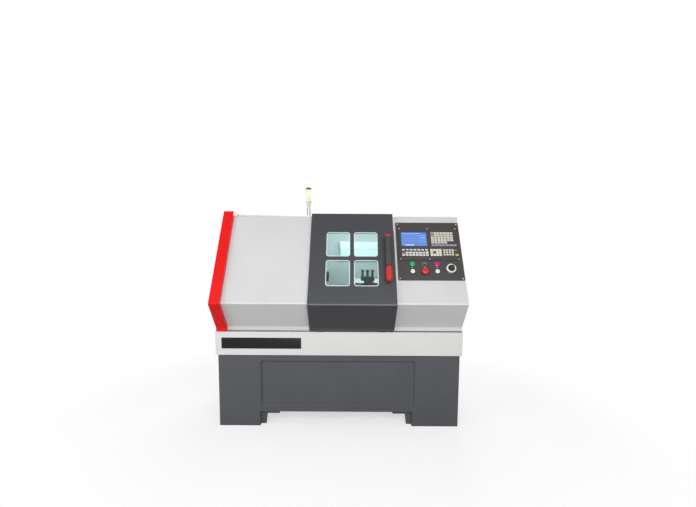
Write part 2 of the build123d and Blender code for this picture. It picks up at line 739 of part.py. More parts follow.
def left_end_cover():
    """Cap over the left end: skin, side wall and an inner flange against the hood."""
    outer_path = lengthen(offset_path(PROFILE, STANDOFF), END_COVER_RISE)
    rear_top = outer_path[-1][1]
    outer = polygon(outer_path + [(HOOD_REAR, rear_top), (HOOD_REAR, TRAY_TOP)])
    outer = round_bends(outer, outer_path)
    inner_path = lengthen(offset_path(PROFILE, STANDOFF - END_COVER_SHEET), END_COVER_RISE)
    roof_run = Vector(*inner_path[-1]) - SLOPE_RUN * END_COVER_SHEET
    inner = polygon(inner_path[:-1] + [
        (roof_run.X, rear_top - END_COVER_SHEET),
        (HOOD_REAR - END_COVER_SHEET, rear_top - END_COVER_SHEET),
        (HOOD_REAR - END_COVER_SHEET, TRAY_TOP),
    ])
    inner = round_bends(inner, inner_path, END_COVER_SHEET)
    cap = prism_x(outer, COVER_LEFT, HOOD_LEFT)
    cap -= prism_x(inner, COVER_LEFT + END_COVER_SHEET, HOOD_LEFT - END_COVER_SHEET)
    window = hood_outline(-END_COVER_FLANGE)
    cap -= prism_x(window, HOOD_LEFT - 2 * END_COVER_SHEET, HOOD_LEFT + 1)
    return cap


# Sliding door
def window_centres():
    for column in range(2):
        for row in range(2):
            yield (
                WINDOW_LEFT + WINDOW_WIDTH / 2 + column * (WINDOW_WIDTH + WINDOW_GAP_X),
                WINDOW_BOTTOM_S + WINDOW_HEIGHT / 2 + row * (WINDOW_HEIGHT + WINDOW_GAP_S),
            )


def window_prism(grow, inner, outer):
    """Rounded prism on the slope round each window, grown by an even distance."""
    shapes = []
    for x, s in window_centres():
        outline = RectangleRounded(
            WINDOW_WIDTH + 2 * grow, WINDOW_HEIGHT + 2 * grow, WINDOW_CORNER + grow,
        )
        shapes.append(SLOPE * (Pos(x, s, inner) * extrude(outline, outer - inner)))
    return shapes


def door_path(distance, top, bottom):
    """Door profile at a height off the panel, cut to its own top and bottom."""
    path = lengthen(offset_path(PROFILE, distance), top)
    return [(path[0][0], bottom)] + path[1:]


def glide_places():
    """Left edges of the two shoes on each rail."""
    return (DOOR_LEFT + GLIDE_INSET, DOOR_RIGHT - GLIDE_INSET - GLIDE_LENGTH)


def door_panel():
    """Folded door skin with top and side returns, and hangers over the roof edge."""
    bottom = TRAY_TOP + DOOR_BOTTOM_LIFT
    outer = door_path(STANDOFF, DOOR_TOP_RISE, bottom)
    inner = door_path(DOOR_RETURN_GAP, DOOR_TOP_RISE, bottom)
    outline = round_bends(polygon(outer + list(reversed(inner))), outer)
    skin = prism_x(outline, DOOR_LEFT, DOOR_RIGHT)
    hollow_top = door_path(STANDOFF - SHEET, DOOR_TOP_RISE - SHEET, bottom - 1)
    hollow_back = door_path(DOOR_RETURN_GAP - 1, DOOR_TOP_RISE - SHEET, bottom - 1)
    hollow = round_bends(polygon(hollow_top + list(reversed(hollow_back))), hollow_top, SHEET)
    skin -= prism_x(hollow, DOOR_LEFT + SHEET, DOOR_RIGHT - SHEET)
    skin -= block(
        DOOR_LEFT - 1, DOOR_RIGHT + 1, FASCIA_Y + SHEET, FASCIA_Y + LEDGE_SETBACK,
        bottom - 1, TRAY_TOP + LOWER_RAIL_HEIGHT + NOTCH_CLEARANCE,
    )
    for left in glide_places():
        skin += block(
            left, left + GLIDE_LENGTH, DOOR_TOP.X, UPPER_RAIL_BACK + GLIDE_WALL,
            HANGER_Z, HANGER_Z + HANGER_THICKNESS,
        )
    return skin - window_prism(0, STANDOFF - SHEET - 1, STANDOFF + 1)


def window_panes():
    top = STANDOFF - SHEET - SEAL_BACK
    return Compound(children=window_prism(PANE_EDGE, top - PANE_THICKNESS, top))


def window_seals():
    """Rubber section in each cut-out: lip in the skin, flange behind it, groove for the pane."""
    back = STANDOFF - SHEET
    depth = 2 * SEAL_BACK + PANE_THICKNESS
    lips = window_prism(0, back, STANDOFF)
    flanges = window_prism(SEAL_FLANGE, back - depth, back)
    sights = window_prism(-SEAL_LIP, back - depth - 1, STANDOFF + 1)
    grooves = window_prism(PANE_EDGE, back - SEAL_BACK - PANE_THICKNESS, back - SEAL_BACK)
    seals = [
        lip + flange - sight - groove
        for lip, flange, sight, groove in zip(lips, flanges, sights, grooves)
    ]
    return Compound(children=seals)


def door_handle():
    """Flat pull bar on two posts."""
    low = STANDOFF + HANDLE_CLEARANCE
    half = HANDLE_WIDTH / 2
    bar = slope_block(
        HANDLE_X - half, HANDLE_X + half, HANDLE_BOTTOM_S, HANDLE_TOP_S,
        low, low + HANDLE_THICKNESS,
    )
    bar = chamfer(bar.edges().filter_by(SLOPE_UP), HANDLE_THICKNESS / 4)
    for s in (HANDLE_BOTTOM_S, HANDLE_TOP_S - HANDLE_POST_LENGTH):
        bar += slope_block(
            HANDLE_X - HANDLE_POST_WIDTH / 2, HANDLE_X + HANDLE_POST_WIDTH / 2,
            s, s + HANDLE_POST_LENGTH, STANDOFF, low,
        )
    return bar


def handle_grips():
    """Bullet-shaped grip under the bar and a thin cap on top of it."""
    low = STANDOFF + HANDLE_CLEARANCE
    grip = extrude(RectangleRounded(GRIP_WIDTH, GRIP_LENGTH, GRIP_CORNER), GRIP_THICKNESS)
    grip = chamfer(grip.faces().sort_by(Axis.Z)[-1].edges(), GRIP_EDGE)
    front = low + HANDLE_THICKNESS / 2 - GRIP_THICKNESS / 2
    grip = SLOPE * (Pos(HANDLE_X, HANDLE_BOTTOM_S - GRIP_LENGTH / 2, front) * grip)
    half = GRIP_WIDTH / 2
    cap = slope_block(
        HANDLE_X - half, HANDLE_X + half, HANDLE_TOP_S, HANDLE_TOP_S + CAP_LENGTH,
        low - CAP_LIP, low + HANDLE_THICKNESS + CAP_LIP,
    )
    cap = chamfer(cap.edges().filter_by(SLOPE_OUT), CAP_LENGTH / 3)
    return Compound(children=[grip, cap])


def rail_ends():
    """Left and right end of both rails: the door's travel and a little more."""
    return DOOR_LEFT - DOOR_TRAVEL - RAIL_OVERRUN, DOOR_RIGHT - RAIL_END_GAP


def door_rails():
    """Flat rail on the roof edge and guide bar along the tray lip."""
    left, right = rail_ends()
    upper = block(
        left, right, UPPER_RAIL_FRONT, UPPER_RAIL_BACK, ROOF_TOP, ROOF_TOP + UPPER_RAIL_HEIGHT,
    )
    lower = block(
        left, right, LOWER_RAIL_FRONT, LOWER_RAIL_BACK, TRAY_TOP, TRAY_TOP + LOWER_RAIL_HEIGHT,
    )
    return Compound(children=[upper, lower])


def door_glides():
    """Plastic shoes under the hangers and behind the door skin that straddle the rails."""
    left, right = rail_ends()
    gap = GLIDE_CLEARANCE
    upper_slot = block(
        left, right, UPPER_RAIL_FRONT - gap, UPPER_RAIL_BACK + gap,
        ROOF_TOP, ROOF_TOP + UPPER_RAIL_HEIGHT + gap,
    )
    lower_slot = block(
        left, right, LOWER_RAIL_FRONT - gap, LOWER_RAIL_BACK + gap,
        TRAY_TOP, TRAY_TOP + LOWER_RAIL_HEIGHT + gap,
    )
    shoes = []
    for x in glide_places():
        upper = block(
            x, x + GLIDE_LENGTH, UPPER_RAIL_FRONT - GLIDE_WALL, UPPER_RAIL_BACK + GLIDE_WALL,
            ROOF_TOP + GLIDE_LIFT, HANGER_Z,
        )
        lower = block(
            x, x + GLIDE_LENGTH, FASCIA_Y + SHEET, LOWER_RAIL_BACK + GLIDE_WALL,
            TRAY_TOP + GLIDE_LIFT, TRAY_TOP + GLIDE_HEIGHT,
        )
        shoes.append(upper - upper_slot)
        shoes.append(lower - lower_slot)
    return Compound(children=shoes)


# Bed
def bed_section():
    """Bed cross-section: vee way in front, flat way behind."""
    low = WAY_TOP - WAY_DEPTH
    vee_foot = WAY_TOP - VEE_RISE
    inner_front = BED_FRONT + WAY_WIDTH
    inner_back = BED_BACK - WAY_WIDTH
    return polygon([
        (BED_FRONT, TRAY_FLOOR),
        (BED_BACK, TRAY_FLOOR),
        (BED_BACK, WAY_TOP),
        (inner_back, WAY_TOP),
        (inner_back, low),
        (inner_front, low),
        (inner_front, vee_foot),
        (BED_FRONT + WAY_WIDTH / 2, WAY_TOP),
        (BED_FRONT, vee_foot),
    ])


def bed_casting():
    bed = prism_x(bed_section(), BED_LEFT, BED_RIGHT)
    first = HEADSTOCK_RIGHT + BED_POCKET_PITCH - BED_POCKET_LENGTH
    half = BED_POCKET_WIDTH / 2
    for number in range(BED_POCKET_COUNT):
        left = first + number * BED_POCKET_PITCH
        bed -= block(
            left, left + BED_POCKET_LENGTH, SPINDLE_Y - half, SPINDLE_Y + half,
            TRAY_FLOOR + BED_POCKET_FLOOR, WAY_TOP,
        )
    for left in (Z_SCREW_LEFT, BED_RIGHT - SCREW_BLOCK_LENGTH):
        support = block(
            left, left + SCREW_BLOCK_LENGTH, BED_BACK, Z_SCREW_Y + SCREW_BLOCK_HALF,
            Z_SCREW_Z - SCREW_BLOCK_HALF, Z_SCREW_Z + SCREW_BLOCK_HALF,
        )
        support -= rod_x(
            Z_SCREW_RADIUS + RUNNING_CLEARANCE,
            left - 1, left + SCREW_BLOCK_LENGTH + 1, Z_SCREW_Y, Z_SCREW_Z,
        )
        bed += support
    return bed


# Headstock
def headstock():
    """Spindle housing that sits down over the ways, bored for two bearings."""
    housing = block(
        BED_LEFT, HEADSTOCK_RIGHT, SPINDLE_Y - HEADSTOCK_HALF_WIDTH,
        SPINDLE_Y + HEADSTOCK_HALF_WIDTH, WAY_TOP - WAY_DEPTH, HEADSTOCK_TOP,
    )
    top_edges = housing.faces().sort_by(Axis.Z)[-1].edges().filter_by(Axis.X)
    housing = chamfer(top_edges, HEADSTOCK_EDGE)
    housing -= prism_x(bed_section(), BED_LEFT - 1, HEADSTOCK_RIGHT + 1)
    housing -= rod_x(BEARING_RADIUS, BED_LEFT - 1, HEADSTOCK_RIGHT + 1, SPINDLE_Y, SPINDLE_Z)
    return housing


def spindle_bearings():
    """Front and rear bearing cartridges with their caps."""
    bore = SPINDLE_RADIUS + RUNNING_CLEARANCE
    pieces = []
    for cap_from, ring_from in (
        (HEADSTOCK_RIGHT, HEADSTOCK_RIGHT - BEARING_LENGTH),
        (BED_LEFT - BEARING_CAP_LENGTH, BED_LEFT),
    ):
        ring = rod_x(BEARING_RADIUS, ring_from, ring_from + BEARING_LENGTH, SPINDLE_Y, SPINDLE_Z)
        cap = rod_x(
            BEARING_CAP_RADIUS, cap_from, cap_from + BEARING_CAP_LENGTH, SPINDLE_Y, SPINDLE_Z,
        )
        left = min(cap_from, ring_from) - 1
        hole = rod_x(
            bore, left, left + BEARING_LENGTH + BEARING_CAP_LENGTH + 2, SPINDLE_Y, SPINDLE_Z,
        )
        pieces.append(ring + cap - hole)
    return Compound(children=pieces)


PULLEY_RIGHT = BED_LEFT - BEARING_CAP_LENGTH - PULLEY_GAP
PULLEY_LEFT = PULLEY_RIGHT - PULLEY_WIDTH
NOSE_LEFT = HEADSTOCK_RIGHT + BEARING_CAP_LENGTH + NOSE_GAP
CHUCK_LEFT = NOSE_LEFT + NOSE_LENGTH
CHUCK_FACE = CHUCK_LEFT + CHUCK_LENGTH


def flanged_pulley(radius, y, z):
    """Flat belt pulley with a raised rim on each side."""
    wheel = rod_x(radius, PULLEY_LEFT, PULLEY_RIGHT, y, z)
    for left in (PULLEY_LEFT, PULLEY_RIGHT - PULLEY_RIM_WIDTH):
        wheel += rod_x(radius + PULLEY_RIM, left, left + PULLEY_RIM_WIDTH, y, z)
    return wheel


def spindle():
    """Hollow spindle with its nose flange, shoulder and belt pulley."""
    shaft = rod_x(SPINDLE_RADIUS, PULLEY_RIGHT, NOSE_LEFT, SPINDLE_Y, SPINDLE_Z)
    shaft += rod_x(NOSE_RADIUS, NOSE_LEFT, CHUCK_LEFT, SPINDLE_Y, SPINDLE_Z)
    left = PULLEY_LEFT - PULLEY_RIM
    shaft += rod_x(PULLEY_SHAFT_RADIUS, left, PULLEY_RIGHT, SPINDLE_Y, SPINDLE_Z)
    shaft += flanged_pulley(PULLEY_RADIUS, SPINDLE_Y, SPINDLE_Z)
    return shaft - rod_x(SPINDLE_BORE, left - 1, CHUCK_LEFT + 1, SPINDLE_Y, SPINDLE_Z)


def drive_belt():
    """Flat belt round both pulleys, riding just clear of them."""
    centres = ((SPINDLE_Y, SPINDLE_Z, PULLEY_RADIUS), (MOTOR_Y, MOTOR_Z, MOTOR_PULLEY_RADIUS))
    loops = []
    for gap in (BELT_GAP, BELT_GAP + BELT_THICKNESS):
        rims = ShapeList()
        for y, z, radius in centres:
            rims += (Pos(y, z) * Circle(radius + gap)).edges()
        loops.append(make_hull(rims))
    margin = PULLEY_RIM_WIDTH + BELT_SIDE_GAP
    return prism_x(loops[1] - loops[0], PULLEY_LEFT + margin, PULLEY_RIGHT - margin)


def main_motor():
    """Foot-mounted motor: end shield, waist, fan cowl, foot and terminal box."""
    left = BED_LEFT
    right = left + MOTOR_LENGTH
    waist_left = left + MOTOR_SHIELD_LENGTH
    body = rod_x(MOTOR_RADIUS - MOTOR_WAIST, left, right, MOTOR_Y, MOTOR_Z)
    body += rod_x(MOTOR_RADIUS, left, waist_left, MOTOR_Y, MOTOR_Z)
    body += rod_x(MOTOR_RADIUS, right - MOTOR_COWL_LENGTH, right, MOTOR_Y, MOTOR_Z)
    foot_left = left + (MOTOR_LENGTH - MOTOR_FOOT_LENGTH) / 2
    body += block(
        foot_left, foot_left + MOTOR_FOOT_LENGTH,
        MOTOR_Y - MOTOR_FOOT_WIDTH / 2, MOTOR_Y + MOTOR_FOOT_WIDTH / 2, TRAY_FLOOR, MOTOR_Z,
    )
    body += block(
        waist_left + MOTOR_SHIELD_LENGTH, waist_left + MOTOR_SHIELD_LENGTH + TERMINAL_BOX_LENGTH,
        MOTOR_Y - TERMINAL_BOX_WIDTH / 2, MOTOR_Y + TERMINAL_BOX_WIDTH / 2,
        MOTOR_Z, MOTOR_Z + MOTOR_RADIUS + TERMINAL_BOX_RISE,
    )
    bore = MOTOR_SHAFT_RADIUS + RUNNING_CLEARANCE
    return body - rod_x(bore, left - 1, left + MOTOR_SHAFT_DEPTH, MOTOR_Y, MOTOR_Z)


def motor_pulley():
    """Driving pulley on the motor's shaft."""
    shaft_end = BED_LEFT + MOTOR_SHAFT_DEPTH - MOTOR_SHAFT_GAP
    pulley = flanged_pulley(MOTOR_PULLEY_RADIUS, MOTOR_Y, MOTOR_Z)
    return pulley + rod_x(MOTOR_SHAFT_RADIUS, PULLEY_LEFT, shaft_end, MOTOR_Y, MOTOR_Z)


# Chuck
JAW_TOP = JAW_INNER_RADIUS + JAW_BASE_HEIGHT + 2 * JAW_STEP_HEIGHT
JAW_BACK = CHUCK_FACE - JAW_SLOT_DEPTH


def around_spindle(shape, angle):
    """Turn a shape modelled about the X axis and carry it to the spindle line."""
    return Pos(0, SPINDLE_Y, SPINDLE_Z) * Rot(angle, 0, 0) * shape


def chuck_body():
    chuck = rod_x(CHUCK_RADIUS, CHUCK_LEFT, CHUCK_FACE, SPINDLE_Y, SPINDLE_Z)
    chuck = chamfer(chuck.edges().filter_by(GeomType.CIRCLE), CHUCK_EDGE)
    chuck -= rod_x(SPINDLE_BORE, CHUCK_LEFT - 1, CHUCK_FACE + 1, SPINDLE_Y, SPINDLE_Z)
    half = JAW_WIDTH / 2
    slot = block(JAW_BACK, CHUCK_FACE + 1, -half, half, 0, CHUCK_RADIUS + 1)
    for number in range(JAW_COUNT):
        chuck -= around_spindle(slot, jaw_angle(number))
    return chuck


def jaw_angle(number):
    """One jaw points to the back, the other two towards the operator."""
    return -90 + number * 360 / JAW_COUNT


def chuck_jaw(number):
    """Three-step jaw in its slot."""
    back = JAW_BACK + JAW_CLEARANCE
    tip = CHUCK_FACE + JAW_REACH
    low = JAW_INNER_RADIUS
    steps = Polyline(
        (back, low), (tip, low), (tip, low + JAW_BASE_HEIGHT),
        (tip - JAW_STEP, low + JAW_BASE_HEIGHT),
        (tip - JAW_STEP, low + JAW_BASE_HEIGHT + JAW_STEP_HEIGHT),
        (tip - 2 * JAW_STEP, low + JAW_BASE_HEIGHT + JAW_STEP_HEIGHT),
        (tip - 2 * JAW_STEP, JAW_TOP), (back, JAW_TOP), close=True,
    )
    half = JAW_WIDTH / 2 - JAW_CLEARANCE
    jaw = extrude(Plane.XZ * make_face(steps), amount=half, both=True)
    return around_spindle(jaw, jaw_angle(number))


# Carriage
def dovetail_section(grow=0.0):
    """Cross-slide guide, wider at the top, in the XZ plane."""
    top = DOVETAIL_WIDTH / 2 + grow
    bottom = top - DOVETAIL_UNDERCUT
    return polygon([
        (SADDLE_MIDDLE - bottom, SADDLE_TOP - 1),
        (SADDLE_MIDDLE - bottom, SADDLE_TOP),
        (SADDLE_MIDDLE - top, SADDLE_TOP + DOVETAIL_HEIGHT + grow),
        (SADDLE_MIDDLE + top, SADDLE_TOP + DOVETAIL_HEIGHT + grow),
        (SADDLE_MIDDLE + bottom, SADDLE_TOP),
        (SADDLE_MIDDLE + bottom, SADDLE_TOP - 1),
    ])


X_SCREW_Z = SADDLE_TOP + DOVETAIL_HEIGHT - SCREW_CHANNEL_DEPTH / 2 - X_SCREW_DROP
SADDLE_FRONT = BED_FRONT - SADDLE_WING
SADDLE_BACK = BED_BACK + SADDLE_WING


def saddle():
    """Saddle that straddles the ways, with the cross guide and both screw seats."""
    body = block(
        SADDLE_LEFT, SADDLE_RIGHT, SADDLE_FRONT, SADDLE_BACK, WAY_TOP - SADDLE_APRON, SADDLE_TOP,
    )
    body += prism_y(dovetail_section(), SADDLE_FRONT, SADDLE_BACK)
    grown = offset(bed_section(), SLIDE_CLEARANCE, kind=Kind.INTERSECTION)
    body -= prism_x(grown, SADDLE_LEFT - 1, SADDLE_RIGHT + 1)
    half = SCREW_CHANNEL_WIDTH / 2
    body -= block(
        SADDLE_MIDDLE - half, SADDLE_MIDDLE + half,
        SADDLE_FRONT + SCREW_CHANNEL_END, SADDLE_BACK - SCREW_CHANNEL_END,
        SADDLE_TOP + DOVETAIL_HEIGHT - SCREW_CHANNEL_DEPTH, SADDLE_TOP + DOVETAIL_HEIGHT + 1,
    )
    body -= rod_y(
        X_SCREW_RADIUS + RUNNING_CLEARANCE, SADDLE_FRONT + X_SCREW_SEAT,
        SADDLE_BACK - X_SCREW_SEAT, SADDLE_MIDDLE, X_SCREW_Z,
    )
    nut_left = SADDLE_MIDDLE - NUT_LENGTH / 2
    body += block(
        nut_left, nut_left + NUT_LENGTH, SADDLE_BACK, Z_SCREW_Y + SCREW_BLOCK_HALF,
        Z_SCREW_Z - SCREW_BLOCK_HALF, SADDLE_TOP,
    )
    body += block(
        nut_left, nut_left + NUT_LENGTH, BED_BACK + SLIDE_CLEARANCE, SADDLE_BACK + 1,
        Z_SCREW_Z - SCREW_BLOCK_HALF, WAY_TOP - SADDLE_APRON,
    )
    bore = Z_SCREW_RADIUS + RUNNING_CLEARANCE
    return body - rod_x(bore, nut_left - 1, nut_left + NUT_LENGTH + 1, Z_SCREW_Y, Z_SCREW_Z)


def slide_cover():
    """Stepped sheet cover over the back end of the cross guide."""
    back = SLIDE_COVER_FRONT + SLIDE_COVER_DEPTH
    left = SADDLE_MIDDLE - SLIDE_COVER_WIDTH / 2
    outline = polygon([
        (SLIDE_COVER_FRONT, SADDLE_TOP),
        (SLIDE_COVER_FRONT, SLIDE_COVER_TOP - SLIDE_COVER_STEP),
        (SLIDE_COVER_FRONT + SLIDE_COVER_STEP, SLIDE_COVER_TOP),
        (back, SLIDE_COVER_TOP),
        (back, SADDLE_TOP),
    ])
    cover = prism_x(outline, left, left + SLIDE_COVER_WIDTH)
    cover -= block(
        left + SHEET, left + SLIDE_COVER_WIDTH - SHEET, SLIDE_COVER_FRONT - 1, back - SHEET,
        SADDLE_TOP - 1, SLIDE_COVER_TOP - SLIDE_COVER_STEP - SHEET,
    )
    return cover


def z_ballscrew():
    """Long feed screw from its left block into the servo motor."""
    right = BED_RIGHT + SERVO_BORE_DEPTH - SCREW_END_GAP
    return rod_x(Z_SCREW_RADIUS, Z_SCREW_LEFT + SCREW_END_GAP, right, Z_SCREW_Y, Z_SCREW_Z)


def z_servo():
    """Square servo motor on the right-hand screw support."""
    half = SERVO_SIZE / 2
    body = block(
        BED_RIGHT, BED_RIGHT + SERVO_LENGTH, Z_SCREW_Y - half, Z_SCREW_Y + half,
        Z_SCREW_Z - half, Z_SCREW_Z + half,
    )
    body = chamfer(body.edges().filter_by(Axis.X), SERVO_EDGE)
    bore = Z_SCREW_RADIUS + RUNNING_CLEARANCE
    return body - rod_x(bore, BED_RIGHT - 1, BED_RIGHT + SERVO_BORE_DEPTH, Z_SCREW_Y, Z_SCREW_Z)


def x_ballscrew():
    """Cross feed screw in its bore along the saddle."""
    inset = X_SCREW_SEAT + SCREW_END_GAP
    return rod_y(
        X_SCREW_RADIUS, SADDLE_FRONT + inset, SADDLE_BACK - inset, SADDLE_MIDDLE, X_SCREW_Z,
    )


CROSS_TOP = SADDLE_TOP + CROSS_SLIDE_HEIGHT
TURRET_BOTTOM = CROSS_TOP + TURRET_BASE_HEIGHT


def cross_slide():
    """Cross slide with its nut, and the round seat that the turret turns on."""
    half = CROSS_SLIDE_WIDTH / 2
    back = CROSS_SLIDE_FRONT + CROSS_SLIDE_LENGTH
    body = block(
        SADDLE_MIDDLE - half, SADDLE_MIDDLE + half, CROSS_SLIDE_FRONT, back,
        SADDLE_TOP + SLIDE_CLEARANCE, CROSS_TOP,
    )
    body -= prism_y(dovetail_section(SLIDE_CLEARANCE), CROSS_SLIDE_FRONT - 1, back + 1)
    nut_half = SCREW_CHANNEL_WIDTH / 2 - NUT_CLEARANCE
    nut_front = TURRET_Y + CROSS_NUT_SETBACK
    nut = block(
        SADDLE_MIDDLE - nut_half, SADDLE_MIDDLE + nut_half, nut_front, nut_front + CROSS_NUT_LENGTH,
        SADDLE_TOP + DOVETAIL_HEIGHT - SCREW_CHANNEL_DEPTH + NUT_CLEARANCE,
        SADDLE_TOP + DOVETAIL_HEIGHT + SLIDE_CLEARANCE,
    )
    bore = X_SCREW_RADIUS + RUNNING_CLEARANCE
    nut -= rod_y(bore, nut_front - 1, nut_front + CROSS_NUT_LENGTH + 1, SADDLE_MIDDLE, X_SCREW_Z)
    body += nut
    body += rod_z(TURRET_BASE_RADIUS, CROSS_TOP, TURRET_BOTTOM, SADDLE_MIDDLE, TURRET_Y)
    return body


# Turret
def turret_slot(side):
    """Tool slot along one side of the turret, modelled on the front side and turned."""
    half = TURRET_SIZE / 2
    slot = block(
        -half - 1, half + 1, -half - 1, -half + TOOL_SLOT_DEPTH, TURRET_LOWER,
        TURRET_LOWER + TOOL_SLOT_HEIGHT,
    )
    return Rot(0, 0, 90 * side) * slot


def turret_place(shape):
    return Pos(SADDLE_MIDDLE, TURRET_Y, TURRET_BOTTOM) * shape


def turret_head():
    """Four-sided tool holder with a slot along each side."""
    half = TURRET_SIZE / 2
    head = block(-half, half, -half, half, 0, TURRET_HEIGHT)
    head = chamfer(head.edges().filter_by(Axis.Z), TURRET_EDGE)
    head -= [turret_slot(side) for side in range(4)]
    holes = [
        rod_z(CLAMP_SCREW_RADIUS, TURRET_LOWER + TOOL_SLOT_HEIGHT - 1, TURRET_HEIGHT + 1, x, y)
        for x, y in screw_places(half - CLAMP_SCREW_INSET)
    ]
    return turret_place(head - holes)


def screw_places(half):
    """Three clamp screws along each side of the turret, corners shared."""
    return [(x, y) for x in (-half, 0, half) for y in (-half, 0, half) if x or y]


def turret_screws():
    """Clamp screws that stand over the turret and press on the tool slots."""
    half = TURRET_SIZE / 2 - CLAMP_SCREW_INSET
    shank_top = TURRET_HEIGHT + CLAMP_SCREW_HEIGHT - CLAMP_HEAD_HEIGHT
    screws = []
    for x, y in screw_places(half):
        shank = rod_z(CLAMP_SCREW_RADIUS, TURRET_LOWER + TOOL_SLOT_HEIGHT, shank_top, x, y)
        head = block(
            x - CLAMP_SCREW_HEAD, x + CLAMP_SCREW_HEAD, y - CLAMP_SCREW_HEAD,
            y + CLAMP_SCREW_HEAD, shank_top, shank_top + CLAMP_HEAD_HEIGHT,
        )
        screws.append(turret_place(shank + head))
    return Compound(children=screws)


def cutting_tool():
    """Turning tool in the right-hand slot, its nose towards the spindle line."""
    half = TURRET_SIZE / 2
    right = half - TOOL_SLOT_DEPTH + TOOL_SIZE
    back = half + TOOL_OVERHANG
    left = right - TOOL_SIZE
    shank = block(
        left, right, back - TOOL_LENGTH, back, TURRET_LOWER, TURRET_LOWER + TOOL_SIZE,
    )
    relief = polygon([(left + TOOL_NOSE, back), (right, back), (right, back - TOOL_RELIEF)])
    shank -= Pos(0, 0, TURRET_LOWER) * extrude(relief, TOOL_SIZE)
    return turret_place(shank)


# Tailstock
def tailstock_body():
    """Tailstock on the ways: base, web and barrel bored for the quill."""
    body = block(
        TAIL_LEFT, TAIL_RIGHT, BED_FRONT, BED_BACK, WAY_TOP - VEE_RISE, WAY_TOP + TAIL_BASE_HEIGHT,
    )
    half = TAIL_WEB_WIDTH / 2
    body += block(
        TAIL_LEFT, TAIL_RIGHT, SPINDLE_Y - half, SPINDLE_Y + half, WAY_TOP, SPINDLE_Z,
    )
    body += rod_x(TAIL_BARREL_RADIUS, TAIL_LEFT, TAIL_RIGHT, SPINDLE_Y, SPINDLE_Z)
    grown = offset(bed_section(), SLIDE_CLEARANCE, kind=Kind.INTERSECTION)
    body -= prism_x(grown, TAIL_LEFT - 1, TAIL_RIGHT + 1)
    bore = QUILL_RADIUS + RUNNING_CLEARANCE
    wall = TAIL_RIGHT - TAIL_WALL
    body -= rod_x(bore, TAIL_LEFT - 1, wall, SPINDLE_Y, SPINDLE_Z)
    screw_bore = TAIL_SCREW_RADIUS + RUNNING_CLEARANCE
    return body - rod_x(screw_bore, wall - 1, TAIL_RIGHT + 1, SPINDLE_Y, SPINDLE_Z)


def quill():
    """Quill with its centre, bored behind for the screw."""
    body = rod_x(QUILL_RADIUS, QUILL_LEFT, QUILL_LEFT + QUILL_LENGTH, SPINDLE_Y, SPINDLE_Z)
    cone = Cone(CENTRE_RADIUS, 1, CENTRE_LENGTH, align=(Align.CENTER, Align.CENTER, Align.MIN))
    body += Pos(QUILL_LEFT, SPINDLE_Y, SPINDLE_Z) * Rot(0, -90, 0) * cone
    bore = TAIL_SCREW_RADIUS + 4 * RUNNING_CLEARANCE
    return body - rod_x(bore, QUILL_LEFT + QUILL_NOSE, TAIL_RIGHT, SPINDLE_Y, SPINDLE_Z)


def tail_handwheel():
    """Spoked hand wheel on the quill screw, with a turning handle."""
    left = TAIL_RIGHT + TAIL_WHEEL_GAP
    right = left + TAIL_WHEEL_WIDTH
    inside = TAIL_WHEEL_RADIUS - TAIL_RIM
    rim = rod_x(TAIL_WHEEL_RADIUS, left, right, SPINDLE_Y, SPINDLE_Z)
    rim -= rod_x(inside, left - 1, right + 1, SPINDLE_Y, SPINDLE_Z)
    wheel = rim + rod_x(TAIL_HUB_RADIUS, left, right, SPINDLE_Y, SPINDLE_Z)
    spoke = block(
        left + TAIL_SPOKE_INSET, right - TAIL_SPOKE_INSET, -TAIL_SPOKE_WIDTH / 2,
        TAIL_SPOKE_WIDTH / 2, 0, inside + TAIL_RIM / 2,
    )
    for number in range(TAIL_SPOKE_COUNT):
        wheel += around_spindle(spoke, number * 360 / TAIL_SPOKE_COUNT)
    screw_left = QUILL_LEFT + QUILL_NOSE + TAIL_SCREW_GAP
    wheel += rod_x(TAIL_SCREW_RADIUS, screw_left, right, SPINDLE_Y, SPINDLE_Z)
    knob_z = SPINDLE_Z + inside + TAIL_RIM / 2
    knob_left = right - TAIL_SPOKE_INSET
    return wheel + rod_x(TAIL_KNOB_RADIUS, knob_left, right + TAIL_KNOB_LENGTH, SPINDLE_Y, knob_z)


# Operator panel
first_button = PLATE_LEFT + BUTTON_SIDE
last_button = HANDWHEEL_X - DIAL_RADIUS - BUTTON_DIAL_GAP
button_columns = (first_button, (first_button + last_button) / 2, last_button)
lower_row = PLATE_BOTTOM_S + BUTTON_RISE
CONTROL_PLACES = [(x, lower_row + BUTTON_PITCH_S) for x in button_columns]
CONTROL_PLACES += [
    (button_columns[0], lower_row),
    (button_columns[1], lower_row - ESTOP_DROP),
    (button_columns[2], lower_row),
]


def operator_plate():
    """Black plate with the unit cut-out, the button holes and the dial hole."""
    outline = RectangleRounded(
        PLATE_RIGHT - PLATE_LEFT, PLATE_TOP_S - PLATE_BOTTOM_S, PLATE_CORNER,
    )
    middle = ((PLATE_LEFT + PLATE_RIGHT) / 2, (PLATE_BOTTOM_S + PLATE_TOP_S) / 2)
    plate = SLOPE * (Pos(*middle) * extrude(outline, PLATE_THICKNESS))
    plate -= slope_block(
        UNIT_LEFT + UNIT_INSET, UNIT_RIGHT - UNIT_INSET, UNIT_BOTTOM_S + UNIT_INSET,
        UNIT_TOP_S - UNIT_INSET, -1, PLATE_THICKNESS + 1,
    )
    plate -= [slope_rod(BARREL_RADIUS, x, s, -1, PLATE_THICKNESS + 1) for x, s in CONTROL_PLACES]
    return plate - slope_rod(DIAL_BODY_RADIUS, HANDWHEEL_X, HANDWHEEL_S, -1, PLATE_THICKNESS + 1)


